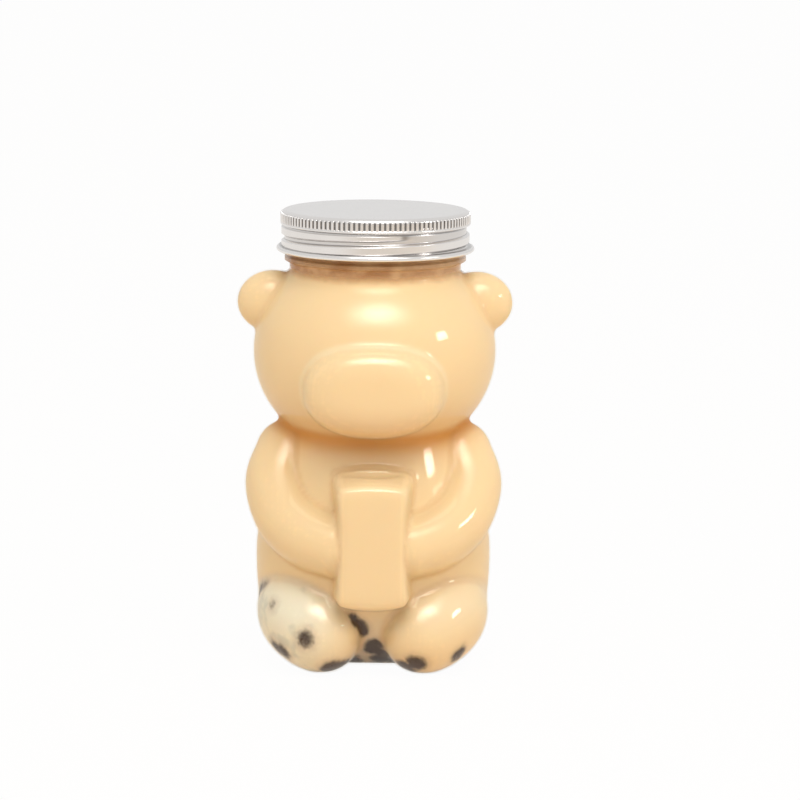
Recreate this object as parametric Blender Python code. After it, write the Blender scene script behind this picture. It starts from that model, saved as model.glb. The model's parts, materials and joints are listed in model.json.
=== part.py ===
"""A bear-shaped drinks bottle with a knurled aluminium screw cap, full of milk tea and tapioca pearls.

The bottle stands on z = 0 and the bear looks towards -Y. Its screw axis is along Z, a little
behind the origin, which is under the middle of the bottle's box. Every size is in metres.
"""

import math

import bmesh
import bpy
import numpy as np
from mathutils import Matrix, Vector
from mathutils.bvhtree import BVHTree

# Clearance between two pieces that touch.
GAP = 0.0003

# Points closer than this are one point.
WELD = 0.000002

# The blown bottle: its wall, its thicker floor, and the dent that makes it stand on a ring.
WALL = 0.0009
FLOOR = 0.0014
DENT_HALF_WIDTH = 0.0220
DENT_HALF_DEPTH = 0.0170
DENT_HEIGHT = 0.0026

# The mould's lobes are fused on a grain this fine and then drawn onto their smooth form.
MOULD_GRAIN = 0.00115
MOULD_FACETS = 1200
DRAW_ROUNDS = 5
DRAW_LIMIT = 0.0012
SPHERE_DETAIL = 4

# An inset corner weighs its facets by their area, but none less than this share. The second value
# keeps a corner between nearly level facets from sliding along them.
SHARE_FLOOR = 0.08
SLIDE_RESISTANCE = 0.02

# Width over which two lobes blend where they meet.
BODY_BLEND = 0.0024
LIMB_BLEND = 0.0018
FACE_BLEND = 0.0014

# Head, with a wide muzzle on its front and an ear on each side.
HEAD_Z = 0.1074
HEAD_HALF_WIDTH = 0.0416
HEAD_HALF_DEPTH = 0.0392
HEAD_HALF_HEIGHT = 0.0372
MUZZLE_HALF_WIDTH = 0.0240
MUZZLE_HALF_HEIGHT = 0.0166
MUZZLE_DEPTH = 0.0160
MUZZLE_REACH = 0.0060
MUZZLE_DROP = 0.0086
MUZZLE_OUTLINE = 2.25
MUZZLE_SQUARENESS = 3.2
EAR_HALF_WIDTH = 0.0126
EAR_HALF_DEPTH = 0.0085
EAR_HALF_HEIGHT = 0.0110
EAR_OUT = 0.0346
EAR_RISE = 0.0165

# Torso, as sections: height, half width, depth in front of the axis, depth behind it.
TORSO_SECTIONS = (
    (-0.0040, 0.0262, 0.0105, 0.0230),
    (-0.0010, 0.0302, 0.0134, 0.0268),
    (0.0035, 0.0340, 0.0190, 0.0300),
    (0.0090, 0.0362, 0.0238, 0.0320),
    (0.0200, 0.0392, 0.0290, 0.0338),
    (0.0320, 0.0404, 0.0322, 0.0348),
    (0.0440, 0.0401, 0.0334, 0.0346),
    (0.0550, 0.0376, 0.0325, 0.0336),
    (0.0660, 0.0343, 0.0302, 0.0315),
    (0.0760, 0.0312, 0.0272, 0.0290),
    (0.0860, 0.0280, 0.0240, 0.0260),
)
TORSO_SIDES = 64

# Each arm runs from the shoulder round the elbow to the hand: side, front, height, radius.
ARM = (
    (0.0290, 0.0040, 0.0725, 0.0117),
    (0.0318, 0.0095, 0.0630, 0.0122),
    (0.0284, 0.0180, 0.0532, 0.0119),
    (0.0212, 0.0252, 0.0476, 0.0115),
    (0.0125, 0.0298, 0.0452, 0.0110),
)

# Each leg runs from the hip to the toes: side, front, height, radius.
LEG = (
    (0.0235, 0.0070, 0.0215, 0.0160),
    (0.0222, 0.0140, 0.0190, 0.0172),
    (0.0195, 0.0195, 0.0160, 0.0160),
    (0.0175, 0.0225, 0.0140, 0.0145),
)
LIMB_STEPS = 6

# The block that the bear holds: a rounded tablet with pinched sides and domed ends.
BLOCK_HALF_WIDTH = 0.0124
BLOCK_HALF_HEIGHT = 0.0200
BLOCK_DEPTH = 0.0150
BLOCK_FRONT = 0.0425
BLOCK_Z = 0.0462
BLOCK_PINCH = 0.10
BLOCK_DOME = 0.08
BLOCK_SIDE_SLANT = 0.16
BLOCK_TOP_SLANT = 0.20
BLOCK_SQUARENESS = 11.0

# Neck: a blown root on the head, a support ring, then the threaded finish up to the rim.
NECK_ROOT_RADIUS = 0.0291
NECK_ROOT_HEIGHT = 0.0030
NECK_RADIUS = 0.0299
NECK_WALL = 0.0021
RING_PROJECTION = 0.0009
RING_HEIGHT = 0.0021
FINISH_HEIGHT = 0.0130
NECK_LAP = 0.0008

# Screw thread, right-handed. The cap's rolled bead runs outside the neck's thread.
THREAD_PITCH = 0.0047
THREAD_PROJECTION = 0.0011
THREAD_ROOT_WIDTH = 0.0019
THREAD_CREST_WIDTH = 0.0007
THREAD_TURNS = 1.25
THREAD_TOP = 0.0038
THREAD_TOP_ANGLE = math.radians(250)
THREAD_PLAY = 0.00045
BEAD_FLAT = 0.0011
BEAD_SLOPE = 0.0008
BEAD_LEAD = math.radians(45)

# Cap: one drawn aluminium sheet with a knurled band, a groove, the bead and a rolled hem.
SHEET = 0.0005
CAP_HEIGHT = 0.0140
CAP_PLAY = 0.0005
CAP_CORNER = 0.0021
BAND_STEP = 0.0014
KNURL_DEPTH = 0.00035
KNURL_TOP = 0.0006
KNURL_BOTTOM = 0.0035
BAND_BOTTOM = 0.0040
GROOVE_DEPTH = 0.0050
GROOVE_STEP = 0.0002
THREAD_ZONE_TOP = 0.0058
THREAD_ZONE_BOTTOM = 0.0120
THREAD_ZONE_ROWS = 8
HEM_STEP = 0.0027
HEM_ROLL = 0.0009
HEM_SEGMENTS = 5

# Foam liner under the cap's top, held in by the groove.
LINER_THICKNESS = 0.0012
LINER_EDGE_PLAY = 0.0003

# What the bottle holds.
HEADSPACE = 0.0080
PEARL_RADIUS = 0.0043
PEARL_HOLLOW_MARGIN = 0.0005
PEARL_DETAIL = 2
PEARL_STEP = 0.0001
PEARL_DROP = 0.0300

# Pearls that lie against the wall: angle from +X, height, and how much drink hides each one.
WALL_PEARLS = (
    (-124, 0.0105, 0.0),
    (-156, 0.0061, 0.0),
    (-112, 0.0061, 0.0),
    (-101, 0.0165, 0.0),
    (-84, 0.0061, 0.0),
    (-64, 0.0061, 0.0),
    (-37, 0.0061, 0.0),
    (-163, 0.0240, 0.0001),
    (-168, 0.0150, 0.0),
    (-12, 0.0066, 0.0001),
    (12, 0.0061, 0.0),
    (34, 0.0082, 0.0001),
    (57, 0.0061, 0.0),
    (82, 0.0063, 0.0001),
    (104, 0.0061, 0.0),
    (131, 0.0074, 0.0),
    (158, 0.0061, 0.0001),
)
INNER_PEARLS = ((0.012, 0.004), (-0.010, 0.008), (0.001, -0.006), (-0.012, -0.007), (0.014, -0.012))

# Facets round the turned pieces. The knurl has a tooth for each column of the cap.
NECK_SIDES = 44
CAP_SIDES = 48
DENT_SIDES = 24
DENT_ROWS = 14

# Places that follow from the sizes above.
NECK_MEETS_HEAD = HEAD_HALF_HEIGHT * math.sqrt(1 - (NECK_ROOT_RADIUS / HEAD_HALF_WIDTH) ** 2)
NECK_JOIN_Z = HEAD_Z + NECK_MEETS_HEAD + BODY_BLEND / 2
RING_BOTTOM_Z = NECK_JOIN_Z + NECK_ROOT_HEIGHT
RING_TOP_Z = RING_BOTTOM_Z + RING_HEIGHT
RIM_Z = RING_TOP_Z + FINISH_HEIGHT
BORE_RADIUS = NECK_RADIUS - NECK_WALL
FILL_Z = RIM_Z - HEADSPACE
LINER_BOTTOM_Z = RIM_Z + GAP
CAP_TOP_Z = LINER_BOTTOM_Z + LINER_THICKNESS + GAP + SHEET
CAP_WALL_RADIUS = NECK_RADIUS + CAP_PLAY
BEAD_RADIUS = NECK_RADIUS + THREAD_PROJECTION + THREAD_PLAY
BAND_RADIUS = CAP_WALL_RADIUS + SHEET + BAND_STEP
HEM_RADIUS = CAP_WALL_RADIUS + SHEET + HEM_STEP
THREAD_TOP_Z = RIM_Z - THREAD_TOP
SCREW_AXIS = Vector((0, MUZZLE_REACH / 2, 0))


# Small helpers

def to_mesh(name, bm):
    """Turn a bmesh into a named mesh."""
    mesh = bpy.data.meshes.new(name)
    bm.to_mesh(mesh)
    bm.free()
    return mesh


def add_object(name, mesh, material=None):
    """Link a mesh to the scene as a named piece."""
    piece = bpy.data.objects.new(name, mesh)
    bpy.context.collection.objects.link(piece)
    if material is not None:
        piece.data.materials.clear()
        piece.data.materials.append(material)
    return piece


def applied(piece):
    """Return the piece's mesh with its modifiers carried out, and drop the piece."""
    graph = bpy.context.evaluated_depsgraph_get()
    mesh = bpy.data.meshes.new_from_object(piece.evaluated_get(graph))
    bpy.data.objects.remove(piece)
    return mesh


def tidied(mesh):
    """Merge points closer than a thousandth of a millimetre and drop faces with no area."""
    bm = bmesh.new()
    bm.from_mesh(mesh)
    bmesh.ops.remove_doubles(bm, verts=bm.verts[:], dist=WELD)
    bmesh.ops.dissolve_degenerate(bm, edges=bm.edges[:], dist=WELD)
    bmesh.ops.triangulate(bm, faces=bm.faces[:])
    return to_mesh(mesh.name, bm)


def combined(mesh, other, operation):
    """Join, cut or intersect two closed meshes."""
    piece = add_object("work", mesh)
    tool = add_object("tool", other)
    boolean = piece.modifiers.new("Boolean", "BOOLEAN")
    boolean.operation = operation
    boolean.object = tool
    boolean.solver = "EXACT"
    result = applied(piece)
    bpy.data.objects.remove(tool)
    return tidied(result)


def cut_at(mesh, height, keep_below):
    """Cut a closed mesh at a height and close the cut with a flat face."""
    bm = bmesh.new()
    bm.from_mesh(mesh)
    cut = bmesh.ops.bisect_plane(
        bm,
        geom=bm.verts[:] + bm.edges[:] + bm.faces[:],
        plane_co=(0, 0, height),
        plane_no=(0, 0, 1 if keep_below else -1),
        clear_outer=True,
    )
    rim = [item for item in cut["geom_cut"] if isinstance(item, bmesh.types.BMEdge)]
    bmesh.ops.holes_fill(bm, edges=rim)
    bmesh.ops.triangulate(bm, faces=bm.faces[:])
    return to_mesh(mesh.name, bm)


def largest_body(mesh):
    """Keep the largest connected body of a mesh."""
    bm = bmesh.new()
    bm.from_mesh(mesh)
    unseen = set(bm.verts)
    bodies = []
    while unseen:
        queue = [unseen.pop()]
        body = set(queue)
        while queue:
            vertex = queue.pop()
            for edge in vertex.link_edges:
                other = edge.other_vert(vertex)
                if other in unseen:
                    unseen.remove(other)
                    body.add(other)
                    queue.append(other)
        bodies.append(body)
    bodies.sort(key=len)
    for body in bodies[:-1]:
        bmesh.ops.delete(bm, geom=list(body), context="VERTS")
    return to_mesh(mesh.name, bm)


def circle(radius, height, count, start=0.0):
    """Points round the Z axis."""
    turn = 2 * math.pi / count
    return [
        Vector((radius * math.cos(start + turn * i), radius * math.sin(start + turn * i), height))
        for i in range(count)
    ]


def skin_rings(name, rings, bottom_point, top_point):
    """Skin a closed shape through rings of points, from a point below to a point above."""
    bm = bmesh.new()
    loops = [[bm.verts.new(point) for point in ring] for ring in rings]
    for lower, upper in zip(loops, loops[1:]):
        for i in range(len(lower)):
            j = (i + 1) % len(lower)
            bm.faces.new((lower[i], lower[j], upper[j], upper[i]))
    low = bm.verts.new(bottom_point)
    high = bm.verts.new(top_point)
    for ring, tip, flip in ((loops[0], low, True), (loops[-1], high, False)):
        for i in range(len(ring)):
            corners = (ring[i], ring[(i + 1) % len(ring)], tip)
            bm.faces.new(corners[::-1] if flip else corners)
    bmesh.ops.triangulate(bm, faces=bm.faces[:])
    return to_mesh(name, bm)


def drum(name, radius, bottom, top, sides):
    """A closed cylinder on the Z axis."""
    rings = [circle(radius, bottom, sides), circle(radius, top, sides)]
    return skin_rings(name, rings, Vector((0, 0, bottom)), Vector((0, 0, top)))


# The bear's mould: rough lobes fused on a grid, then drawn onto the smooth form below

def ball(bm, centre, radii):
    """Add an ellipsoid."""
    verts = bmesh.ops.create_icosphere(bm, subdivisions=SPHERE_DETAIL, radius=1)["verts"]
    place = Matrix.Translation(centre) @ Matrix.Diagonal((*radii, 1))
    bmesh.ops.transform(bm, matrix=place, verts=verts)


def limb_line(stations):
    """Centres and radii along the smooth line through a limb's stations, on the +X side."""
    s = np.array(stations)
    knots = np.arange(len(s))
    steps = np.linspace(0, len(s) - 1, LIMB_STEPS * (len(s) - 1) + 1)
    side, front, height, radius = (through(steps, knots, s[:, i]) for i in range(4))
    return np.stack((side, -front, height), axis=1), radius


def through(at, places, values):
    """A smooth curve through values, read at any places."""
    places, values = np.asarray(places, float), np.asarray(values, float)
    slopes = np.gradient(values, places)
    i = np.clip(np.searchsorted(places, at) - 1, 0, len(places) - 2)
    width = places[i + 1] - places[i]
    t = np.clip((at - places[i]) / width, 0, 1)
    return (
        values[i] * (2 * t**3 - 3 * t**2 + 1)
        + slopes[i] * width * (t**3 - 2 * t**2 + t)
        + values[i + 1] * (3 * t**2 - 2 * t**3)
        + slopes[i + 1] * width * (t**3 - t**2)
    )


def lobe_distance(offset, radii, outline=2.0, squareness=2.0):
    """Distance outside a lobe, along the line to its centre.

    The outline is the exponent of the lobe's front view, the squareness that of its depth.
    """
    x, y, z = np.abs(offset / np.array(radii)).T
    face = (x**outline + z**outline) ** (squareness / outline)
    size = (face + y**squareness) ** (1 / squareness) + 1e-9
    return np.linalg.norm(offset, axis=1) * (1 - 1 / size)


def limb_distance(points, stations):
    """Distance outside a limb, on the +X side."""
    centres, radii = limb_line(stations)
    nearest = np.full(len(points), np.inf)
    for start, end, r0, r1 in zip(centres, centres[1:], radii, radii[1:]):
        along = end - start
        t = np.clip((points - start) @ along / (along @ along), 0, 1)
        gap = np.linalg.norm(points - start - t[:, None] * along, axis=1)
        nearest = np.minimum(nearest, gap - r0 - (r1 - r0) * t)
    return nearest


def torso_distance(points):
    """Distance outside the torso, level with each point."""
    heights, widths, fronts, backs = np.array(TORSO_SECTIONS).T
    x, y, z = points.T
    width = through(z, heights, widths)
    depth = np.where(y < 0, through(z, heights, fronts), through(z, heights, backs))
    size = np.hypot(x / width, y / depth) + 1e-9
    return np.maximum(np.hypot(x, y) * (1 - 1 / size), z - heights[-1])


def block_distance(points):
    """Distance outside the block: its sides pinch at mid height and slant back to the chest."""
    centre = np.array((0, BLOCK_DEPTH - BLOCK_FRONT, BLOCK_Z))
    radii = np.array((BLOCK_HALF_WIDTH, BLOCK_DEPTH, BLOCK_HALF_HEIGHT))
    offset = points - centre
    x, y, z = (offset / radii).T
    back = np.clip(1 + y, 0, 2)
    width = (1 - BLOCK_PINCH * (1 - np.clip(z, -1, 1) ** 2)) * (1 + BLOCK_SIDE_SLANT * back)
    height = (1 + BLOCK_DOME * (1 - np.clip(x, -1, 1) ** 2)) * np.where(z > 0, 1 + BLOCK_TOP_SLANT * back, 1)
    shaped = np.stack((offset[:, 0] / width, offset[:, 1], offset[:, 2] / height), axis=1)
    return lobe_distance(shaped, radii, BLOCK_SQUARENESS, BLOCK_SQUARENESS)


def blended(one, other, width):
    """The lesser of two distances, rounded where they are within a width of each other."""
    overlap = np.maximum(width - np.abs(one - other), 0) / width
    return np.minimum(one, other) - overlap**2 * width / 4


def bear_distance(points):
    """Distance outside the whole bear, which is the same on both sides."""
    points = np.stack((np.abs(points[:, 0]), points[:, 1], points[:, 2]), axis=1)
    head = points - (0, 0, HEAD_Z)
    muzzle = head - (0, MUZZLE_DEPTH - HEAD_HALF_DEPTH - MUZZLE_REACH, -MUZZLE_DROP)
    ear = head - (EAR_OUT, 0, EAR_RISE)
    neck = np.hypot(points[:, 0], points[:, 1]) - NECK_ROOT_RADIUS + GAP
    neck = np.maximum(neck, np.maximum(-head[:, 2], points[:, 2] - RING_TOP_Z))
    skull = lobe_distance(head, (HEAD_HALF_WIDTH, HEAD_HALF_DEPTH, HEAD_HALF_HEIGHT))
    ears = lobe_distance(ear, (EAR_HALF_WIDTH, EAR_HALF_DEPTH, EAR_HALF_HEIGHT))
    snout = lobe_distance(
        muzzle,
        (MUZZLE_HALF_WIDTH, MUZZLE_DEPTH, MUZZLE_HALF_HEIGHT),
        MUZZLE_OUTLINE,
        MUZZLE_SQUARENESS,
    )
    form = blended(torso_distance(points), limb_distance(points, LEG), LIMB_BLEND)
    form = blended(form, limb_distance(points, ARM), LIMB_BLEND)
    skull = blended(blended(skull, ears, FACE_BLEND), snout, FACE_BLEND)
    form = blended(form, blended(skull, neck, BODY_BLEND), BODY_BLEND)
    return blended(form, block_distance(points), FACE_BLEND)


def drawn(mesh):
    """Draw every point of a rough mesh onto the bear's smooth form."""
    flat = np.empty(3 * len(mesh.vertices))
    mesh.vertices.foreach_get("co", flat)
    points = flat.reshape(-1, 3)
    probe = WELD * 10
    for _ in range(DRAW_ROUNDS):
        here = bear_distance(points)
        slope = np.stack(
            [(bear_distance(points + probe * axis) - here) / probe for axis in np.eye(3)], axis=1
        )
        move = -here / np.maximum((slope**2).sum(axis=1), 0.25)
        move = np.clip(move, -DRAW_LIMIT, DRAW_LIMIT)
        points = points + move[:, None] * slope
    mesh.vertices.foreach_set("co", points.ravel())
    mesh.update()
    return mesh


def make_mould():
    """The bear's outer form as a fine mesh."""
    bm = bmesh.new()
    ball(bm, (0, 0, HEAD_Z), (HEAD_HALF_WIDTH, HEAD_HALF_DEPTH, HEAD_HALF_HEIGHT))
    snout = (0, MUZZLE_DEPTH - HEAD_HALF_DEPTH - MUZZLE_REACH, HEAD_Z - MUZZLE_DROP)
    ball(bm, snout, (MUZZLE_HALF_WIDTH, MUZZLE_DEPTH, MUZZLE_HALF_HEIGHT))
    for side in (-1, 1):
        ear = (side * EAR_OUT, 0, HEAD_Z + EAR_RISE)
        ball(bm, ear, (EAR_HALF_WIDTH, EAR_HALF_DEPTH, EAR_HALF_HEIGHT))
        for stations in (ARM, LEG):
            for centre, radius in zip(*limb_line(stations)):
                ball(bm, (side * centre[0], centre[1], centre[2]), (radius,) * 3)
    block = bmesh.ops.create_cube(bm, size=2)["verts"]
    place = Matrix.Translation((0, BLOCK_DEPTH - BLOCK_FRONT, BLOCK_Z))
    scale = Matrix.Diagonal((BLOCK_HALF_WIDTH, BLOCK_DEPTH, BLOCK_HALF_HEIGHT, 1))
    bmesh.ops.transform(bm, matrix=place @ scale, verts=block)
    lobes = to_mesh("lobes", bm)
    rings = [
        [
            Vector((p.x * width, p.y * (front if p.y < 0 else back), height))
            for p in circle(1.0, 0.0, TORSO_SIDES)
        ]
        for height, width, front, back in TORSO_SECTIONS
    ]
    low, high = TORSO_SECTIONS[0][0], TORSO_SECTIONS[-1][0]
    torso = skin_rings("torso", rings, Vector((0, 0, low)), Vector((0, 0, high)))
    root = drum("neck_root", NECK_ROOT_RADIUS - GAP, HEAD_Z, RING_TOP_Z, TORSO_SIDES)
    bm = bmesh.new()
    for mesh in (lobes, torso, root):
        bm.from_mesh(mesh)
    mould = add_object("mould", to_mesh("mould", bm))
    remesh = mould.modifiers.new("Fuse", "REMESH")
    remesh.mode = "VOXEL"
    remesh.voxel_size = MOULD_GRAIN
    return drawn(applied(mould))


def faceted(mesh):
    """Reduce the fine mould to its facets."""
    piece = add_object("facets", mesh)
    triangles = sum(len(face.vertices) - 2 for face in mesh.polygons)
    reduce = piece.modifiers.new("Facets", "DECIMATE")
    reduce.ratio = MOULD_FACETS / triangles
    reduce.use_collapse_triangulate = True
    return applied(piece)


def inset_copy(mesh, distance):
    """Copy a closed mesh with every facet moved inwards by a distance."""
    bm = bmesh.new()
    bm.from_mesh(mesh)
    bm.normal_update()
    moves = []
    for vert in bm.verts:
        normals = np.array([face.normal for face in vert.link_faces])
        areas = np.array([face.calc_area() for face in vert.link_faces])
        shares = np.maximum(areas / areas.sum(), SHARE_FLOOR)[:, None]
        weighed = (normals * shares).T
        pull = weighed @ np.full(len(normals), -distance)
        moves.append(np.linalg.solve(weighed @ normals + SLIDE_RESISTANCE * np.eye(3), pull))
    for vert, move in zip(bm.verts, moves):
        vert.co += Vector(move)
    return to_mesh("inset", bm)


def dent(extra):
    """The domed hollow under the bottle, or its swollen copy for the inner side."""
    bm = bmesh.new()
    bmesh.ops.create_uvsphere(bm, u_segments=DENT_SIDES, v_segments=DENT_ROWS, radius=1)
    rise = 2 * DENT_HEIGHT
    widening = 1 / math.sqrt(1 - (DENT_HEIGHT / rise) ** 2)
    size = Matrix.Diagonal(
        (DENT_HALF_WIDTH * widening + extra, DENT_HALF_DEPTH * widening + extra, rise + extra, 1)
    )
    bmesh.ops.transform(bm, matrix=size, verts=bm.verts)
    bmesh.ops.translate(bm, vec=(0, 0, -DENT_HEIGHT), verts=bm.verts)
    return to_mesh("dent", bm)


def bear_body(facets, inset, floor, top):
    """The bear's closed form, inset from the mould and cut flat at its floor and its neck."""
    body = inset_copy(facets, inset) if inset else facets.copy()
    body = cut_at(body, floor, keep_below=False)
    body = cut_at(body, top, keep_below=True)
    return combined(body, dent(floor), "DIFFERENCE")


# Neck and thread

def thread_angle_at(z):
    """The angle where the thread's middle passes a height."""
    return THREAD_TOP_ANGLE + (z - THREAD_TOP_Z) / THREAD_PITCH * 2 * math.pi


def thread_height(angle):
    """The height of the thread's middle at an angle."""
    return THREAD_TOP_Z + (angle - THREAD_TOP_ANGLE) / (2 * math.pi) * THREAD_PITCH


def thread_ridge():
    """The neck's thread: a trapezium swept along its helix, thinning to nothing at both ends."""
    bm = bmesh.new()
    steps = round(THREAD_TURNS * NECK_SIDES)
    fade = 4
    sections = []
    for step in range(steps + 1):
        angle = THREAD_TOP_ANGLE - 2 * math.pi * THREAD_TURNS * step / steps
        strength = min(1, (step + 0.4) / fade, (steps - step + 0.4) / fade)
        middle = thread_height(angle)
        root_radius = NECK_RADIUS - NECK_WALL / 2
        foot_radius = NECK_RADIUS - GAP
        crest_radius = NECK_RADIUS + THREAD_PROJECTION * strength
        profile = (
            (root_radius, -THREAD_ROOT_WIDTH / 2),
            (foot_radius, -THREAD_ROOT_WIDTH / 2),
            (crest_radius, -THREAD_CREST_WIDTH / 2),
            (crest_radius, THREAD_CREST_WIDTH / 2),
            (foot_radius, THREAD_ROOT_WIDTH / 2),
            (root_radius, THREAD_ROOT_WIDTH / 2),
        )
        sections.append(
            [
                bm.verts.new((r * math.cos(angle), r * math.sin(angle), middle + dz))
                for r, dz in profile
            ]
        )
    for one, two in zip(sections, sections[1:]):
        for i in range(len(one)):
            j = (i + 1) % len(one)
            bm.faces.new((one[i], one[j], two[j], two[i]))
    bm.faces.new(sections[0][::-1])
    bm.faces.new(sections[-1])
    bmesh.ops.recalc_face_normals(bm, faces=bm.faces[:])
    return to_mesh("thread", bm)


def neck_outside():
    """The neck's outer form from its root to its rounded rim."""
    ring_radius = NECK_RADIUS + RING_PROJECTION
    lip = NECK_WALL / 4
    profile = (
        (NECK_ROOT_RADIUS, NECK_JOIN_Z - NECK_LAP),
        (NECK_ROOT_RADIUS, RING_BOTTOM_Z - RING_HEIGHT / 4),
        (ring_radius, RING_BOTTOM_Z + RING_HEIGHT / 4),
        (ring_radius, RING_TOP_Z - RING_HEIGHT / 4),
        (NECK_RADIUS, RING_TOP_Z + RING_HEIGHT / 8),
        (NECK_RADIUS, RIM_Z - lip),
        (NECK_RADIUS - lip, RIM_Z),
    )
    rings = [circle(radius, height, NECK_SIDES) for radius, height in profile]
    return skin_rings("neck", rings, Vector((0, 0, profile[0][1])), Vector((0, 0, RIM_Z)))


def make_bottle(facets):
    """The bottle: the bear's body and the threaded neck as one wall of plastic."""
    outside = bear_body(facets, 0.0, 0.0, NECK_JOIN_Z)
    neck = combined(neck_outside(), thread_ridge(), "UNION")
    bottle = combined(outside, neck, "UNION")
    inside = bear_body(facets, WALL, FLOOR, NECK_JOIN_Z - NECK_LAP / 2)
    bottle = combined(bottle, inside, "DIFFERENCE")
    bore = drum("bore", BORE_RADIUS, NECK_JOIN_Z - NECK_WALL, RIM_Z + NECK_WALL, NECK_SIDES)
    return combined(bottle, bore, "DIFFERENCE")


# Cap and liner

def bead_swell(angle, depth):
    """How far the bead stands out, from 0 to 1, at an angle and a depth below the cap's top."""
    z = CAP_TOP_Z - depth
    last = THREAD_TOP_ANGLE + BEAD_LEAD
    turns_below = (thread_angle_at(z) - angle) / (2 * math.pi)
    nearest = angle + 2 * math.pi * round(turns_below)
    while nearest > last:
        nearest -= 2 * math.pi
    offset = abs(z - thread_height(nearest))
    across = min(1.0, max(0.0, (BEAD_FLAT + BEAD_SLOPE - offset) / BEAD_SLOPE))
    along = min(1.0, (last - nearest) / BEAD_LEAD * 2)
    return across * along


def make_cap():
    """The cap's sheet: rings of points up the outside, over the top and down the inside."""
    knurl = 2 * CAP_SIDES
    bead_rise = BEAD_RADIUS - CAP_WALL_RADIUS
    rows = [
        THREAD_ZONE_BOTTOM + (THREAD_ZONE_TOP - THREAD_ZONE_BOTTOM) * i / (THREAD_ZONE_ROWS - 1)
        for i in range(THREAD_ZONE_ROWS)
    ]

    def threaded(radius, depth):
        ring = []
        for point in circle(1.0, CAP_TOP_Z - depth, CAP_SIDES):
            angle = math.atan2(point.y, point.x)
            swollen = radius + bead_rise * bead_swell(angle, depth)
            ring.append(Vector((point.x * swollen, point.y * swollen, point.z)))
        return ring

    def toothed(radius, depth, tooth):
        points = circle(1.0, CAP_TOP_Z - depth, knurl)
        return [
            Vector((p.x * (radius - tooth * (i % 2)), p.y * (radius - tooth * (i % 2)), p.z))
            for i, p in enumerate(points)
        ]

    def corner(depth):
        drop = CAP_CORNER - depth
        return BAND_RADIUS - CAP_CORNER + math.sqrt(CAP_CORNER**2 - drop**2)

    wall_outside = CAP_WALL_RADIUS + SHEET
    hem_depth = CAP_HEIGHT - HEM_ROLL
    hem_centre = HEM_RADIUS - HEM_ROLL
    mouth = BEAD_RADIUS + GAP / 2
    hem = []
    for i in range(HEM_SEGMENTS):
        turn = math.radians(-160 + 250 * i / (HEM_SEGMENTS - 1))
        radius = hem_centre + HEM_ROLL * math.cos(turn)
        hem.append(circle(radius, CAP_TOP_Z - hem_depth + HEM_ROLL * math.sin(turn), CAP_SIDES))
    flare = (THREAD_ZONE_BOTTOM + hem_depth) / 2
    outside = [threaded(wall_outside, depth) for depth in rows]
    groove = circle(wall_outside - GROOVE_STEP, CAP_TOP_Z - GROOVE_DEPTH, CAP_SIDES)
    top = [
        circle(BAND_RADIUS, CAP_TOP_Z - BAND_BOTTOM, CAP_SIDES),
        toothed(BAND_RADIUS, KNURL_BOTTOM, KNURL_DEPTH),
        toothed(BAND_RADIUS, CAP_CORNER, KNURL_DEPTH),
        toothed(corner(KNURL_TOP), KNURL_TOP, KNURL_DEPTH / 2),
        circle(BAND_RADIUS - CAP_CORNER, CAP_TOP_Z, CAP_SIDES),
    ]
    inside = [
        circle(BAND_RADIUS - CAP_CORNER, CAP_TOP_Z - SHEET, CAP_SIDES),
        circle(BAND_RADIUS - KNURL_DEPTH - SHEET, CAP_TOP_Z - CAP_CORNER, CAP_SIDES),
        circle(BAND_RADIUS - KNURL_DEPTH - SHEET, CAP_TOP_Z - BAND_BOTTOM + SHEET, CAP_SIDES),
        circle(CAP_WALL_RADIUS - GROOVE_STEP, CAP_TOP_Z - GROOVE_DEPTH, CAP_SIDES),
    ]
    inside += [threaded(CAP_WALL_RADIUS, depth) for depth in reversed(rows)]
    inside.append(circle(mouth, CAP_TOP_Z - flare, CAP_SIDES))
    rings = hem + outside + [groove] + top
    centre_top = Vector((0, 0, CAP_TOP_Z))
    centre_under = Vector((0, 0, CAP_TOP_Z - SHEET))
    return skin_sheet("cap", rings, centre_top, inside, centre_under)


def skin_sheet(name, outer, outer_tip, inner, inner_tip):
    """Skin a cap-like sheet: outer rings up to a tip, then inner rings from a tip back down."""
    bm = bmesh.new()
    outer_loops = [[bm.verts.new(p) for p in ring] for ring in outer]
    inner_loops = [[bm.verts.new(p) for p in ring] for ring in inner]
    pairs = list(zip(outer_loops, outer_loops[1:])) + list(zip(inner_loops, inner_loops[1:]))
    pairs.append((inner_loops[-1], outer_loops[0]))
    for lower, upper in pairs:
        if len(lower) == len(upper):
            for i in range(len(lower)):
                j = (i + 1) % len(lower)
                bm.faces.new((lower[i], lower[j], upper[j], upper[i]))
            continue
        few, many = sorted((lower, upper), key=len)
        for i in range(len(few)):
            j = (i + 1) % len(few)
            a, b, c = many[2 * i], many[2 * i + 1], many[(2 * i + 2) % len(many)]
            for corners in ((few[i], b, a), (few[i], few[j], b), (few[j], c, b)):
                bm.faces.new(corners)
    for ring, tip in ((outer_loops[-1], outer_tip), (inner_loops[0], inner_tip)):
        point = bm.verts.new(tip)
        for i in range(len(ring)):
            bm.faces.new((ring[i], ring[(i + 1) % len(ring)], point))
    bmesh.ops.recalc_face_normals(bm, faces=bm.faces[:])
    bmesh.ops.triangulate(bm, faces=bm.faces[:])
    return to_mesh(name, bm)


def make_liner():
    """The foam disc that seals the rim."""
    radius = BAND_RADIUS - KNURL_DEPTH - SHEET - LINER_EDGE_PLAY - CAP_CORNER / 2
    return drum("liner", radius, LINER_BOTTOM_Z, LINER_BOTTOM_Z + LINER_THICKNESS, CAP_SIDES)


# Drink and pearls

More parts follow.
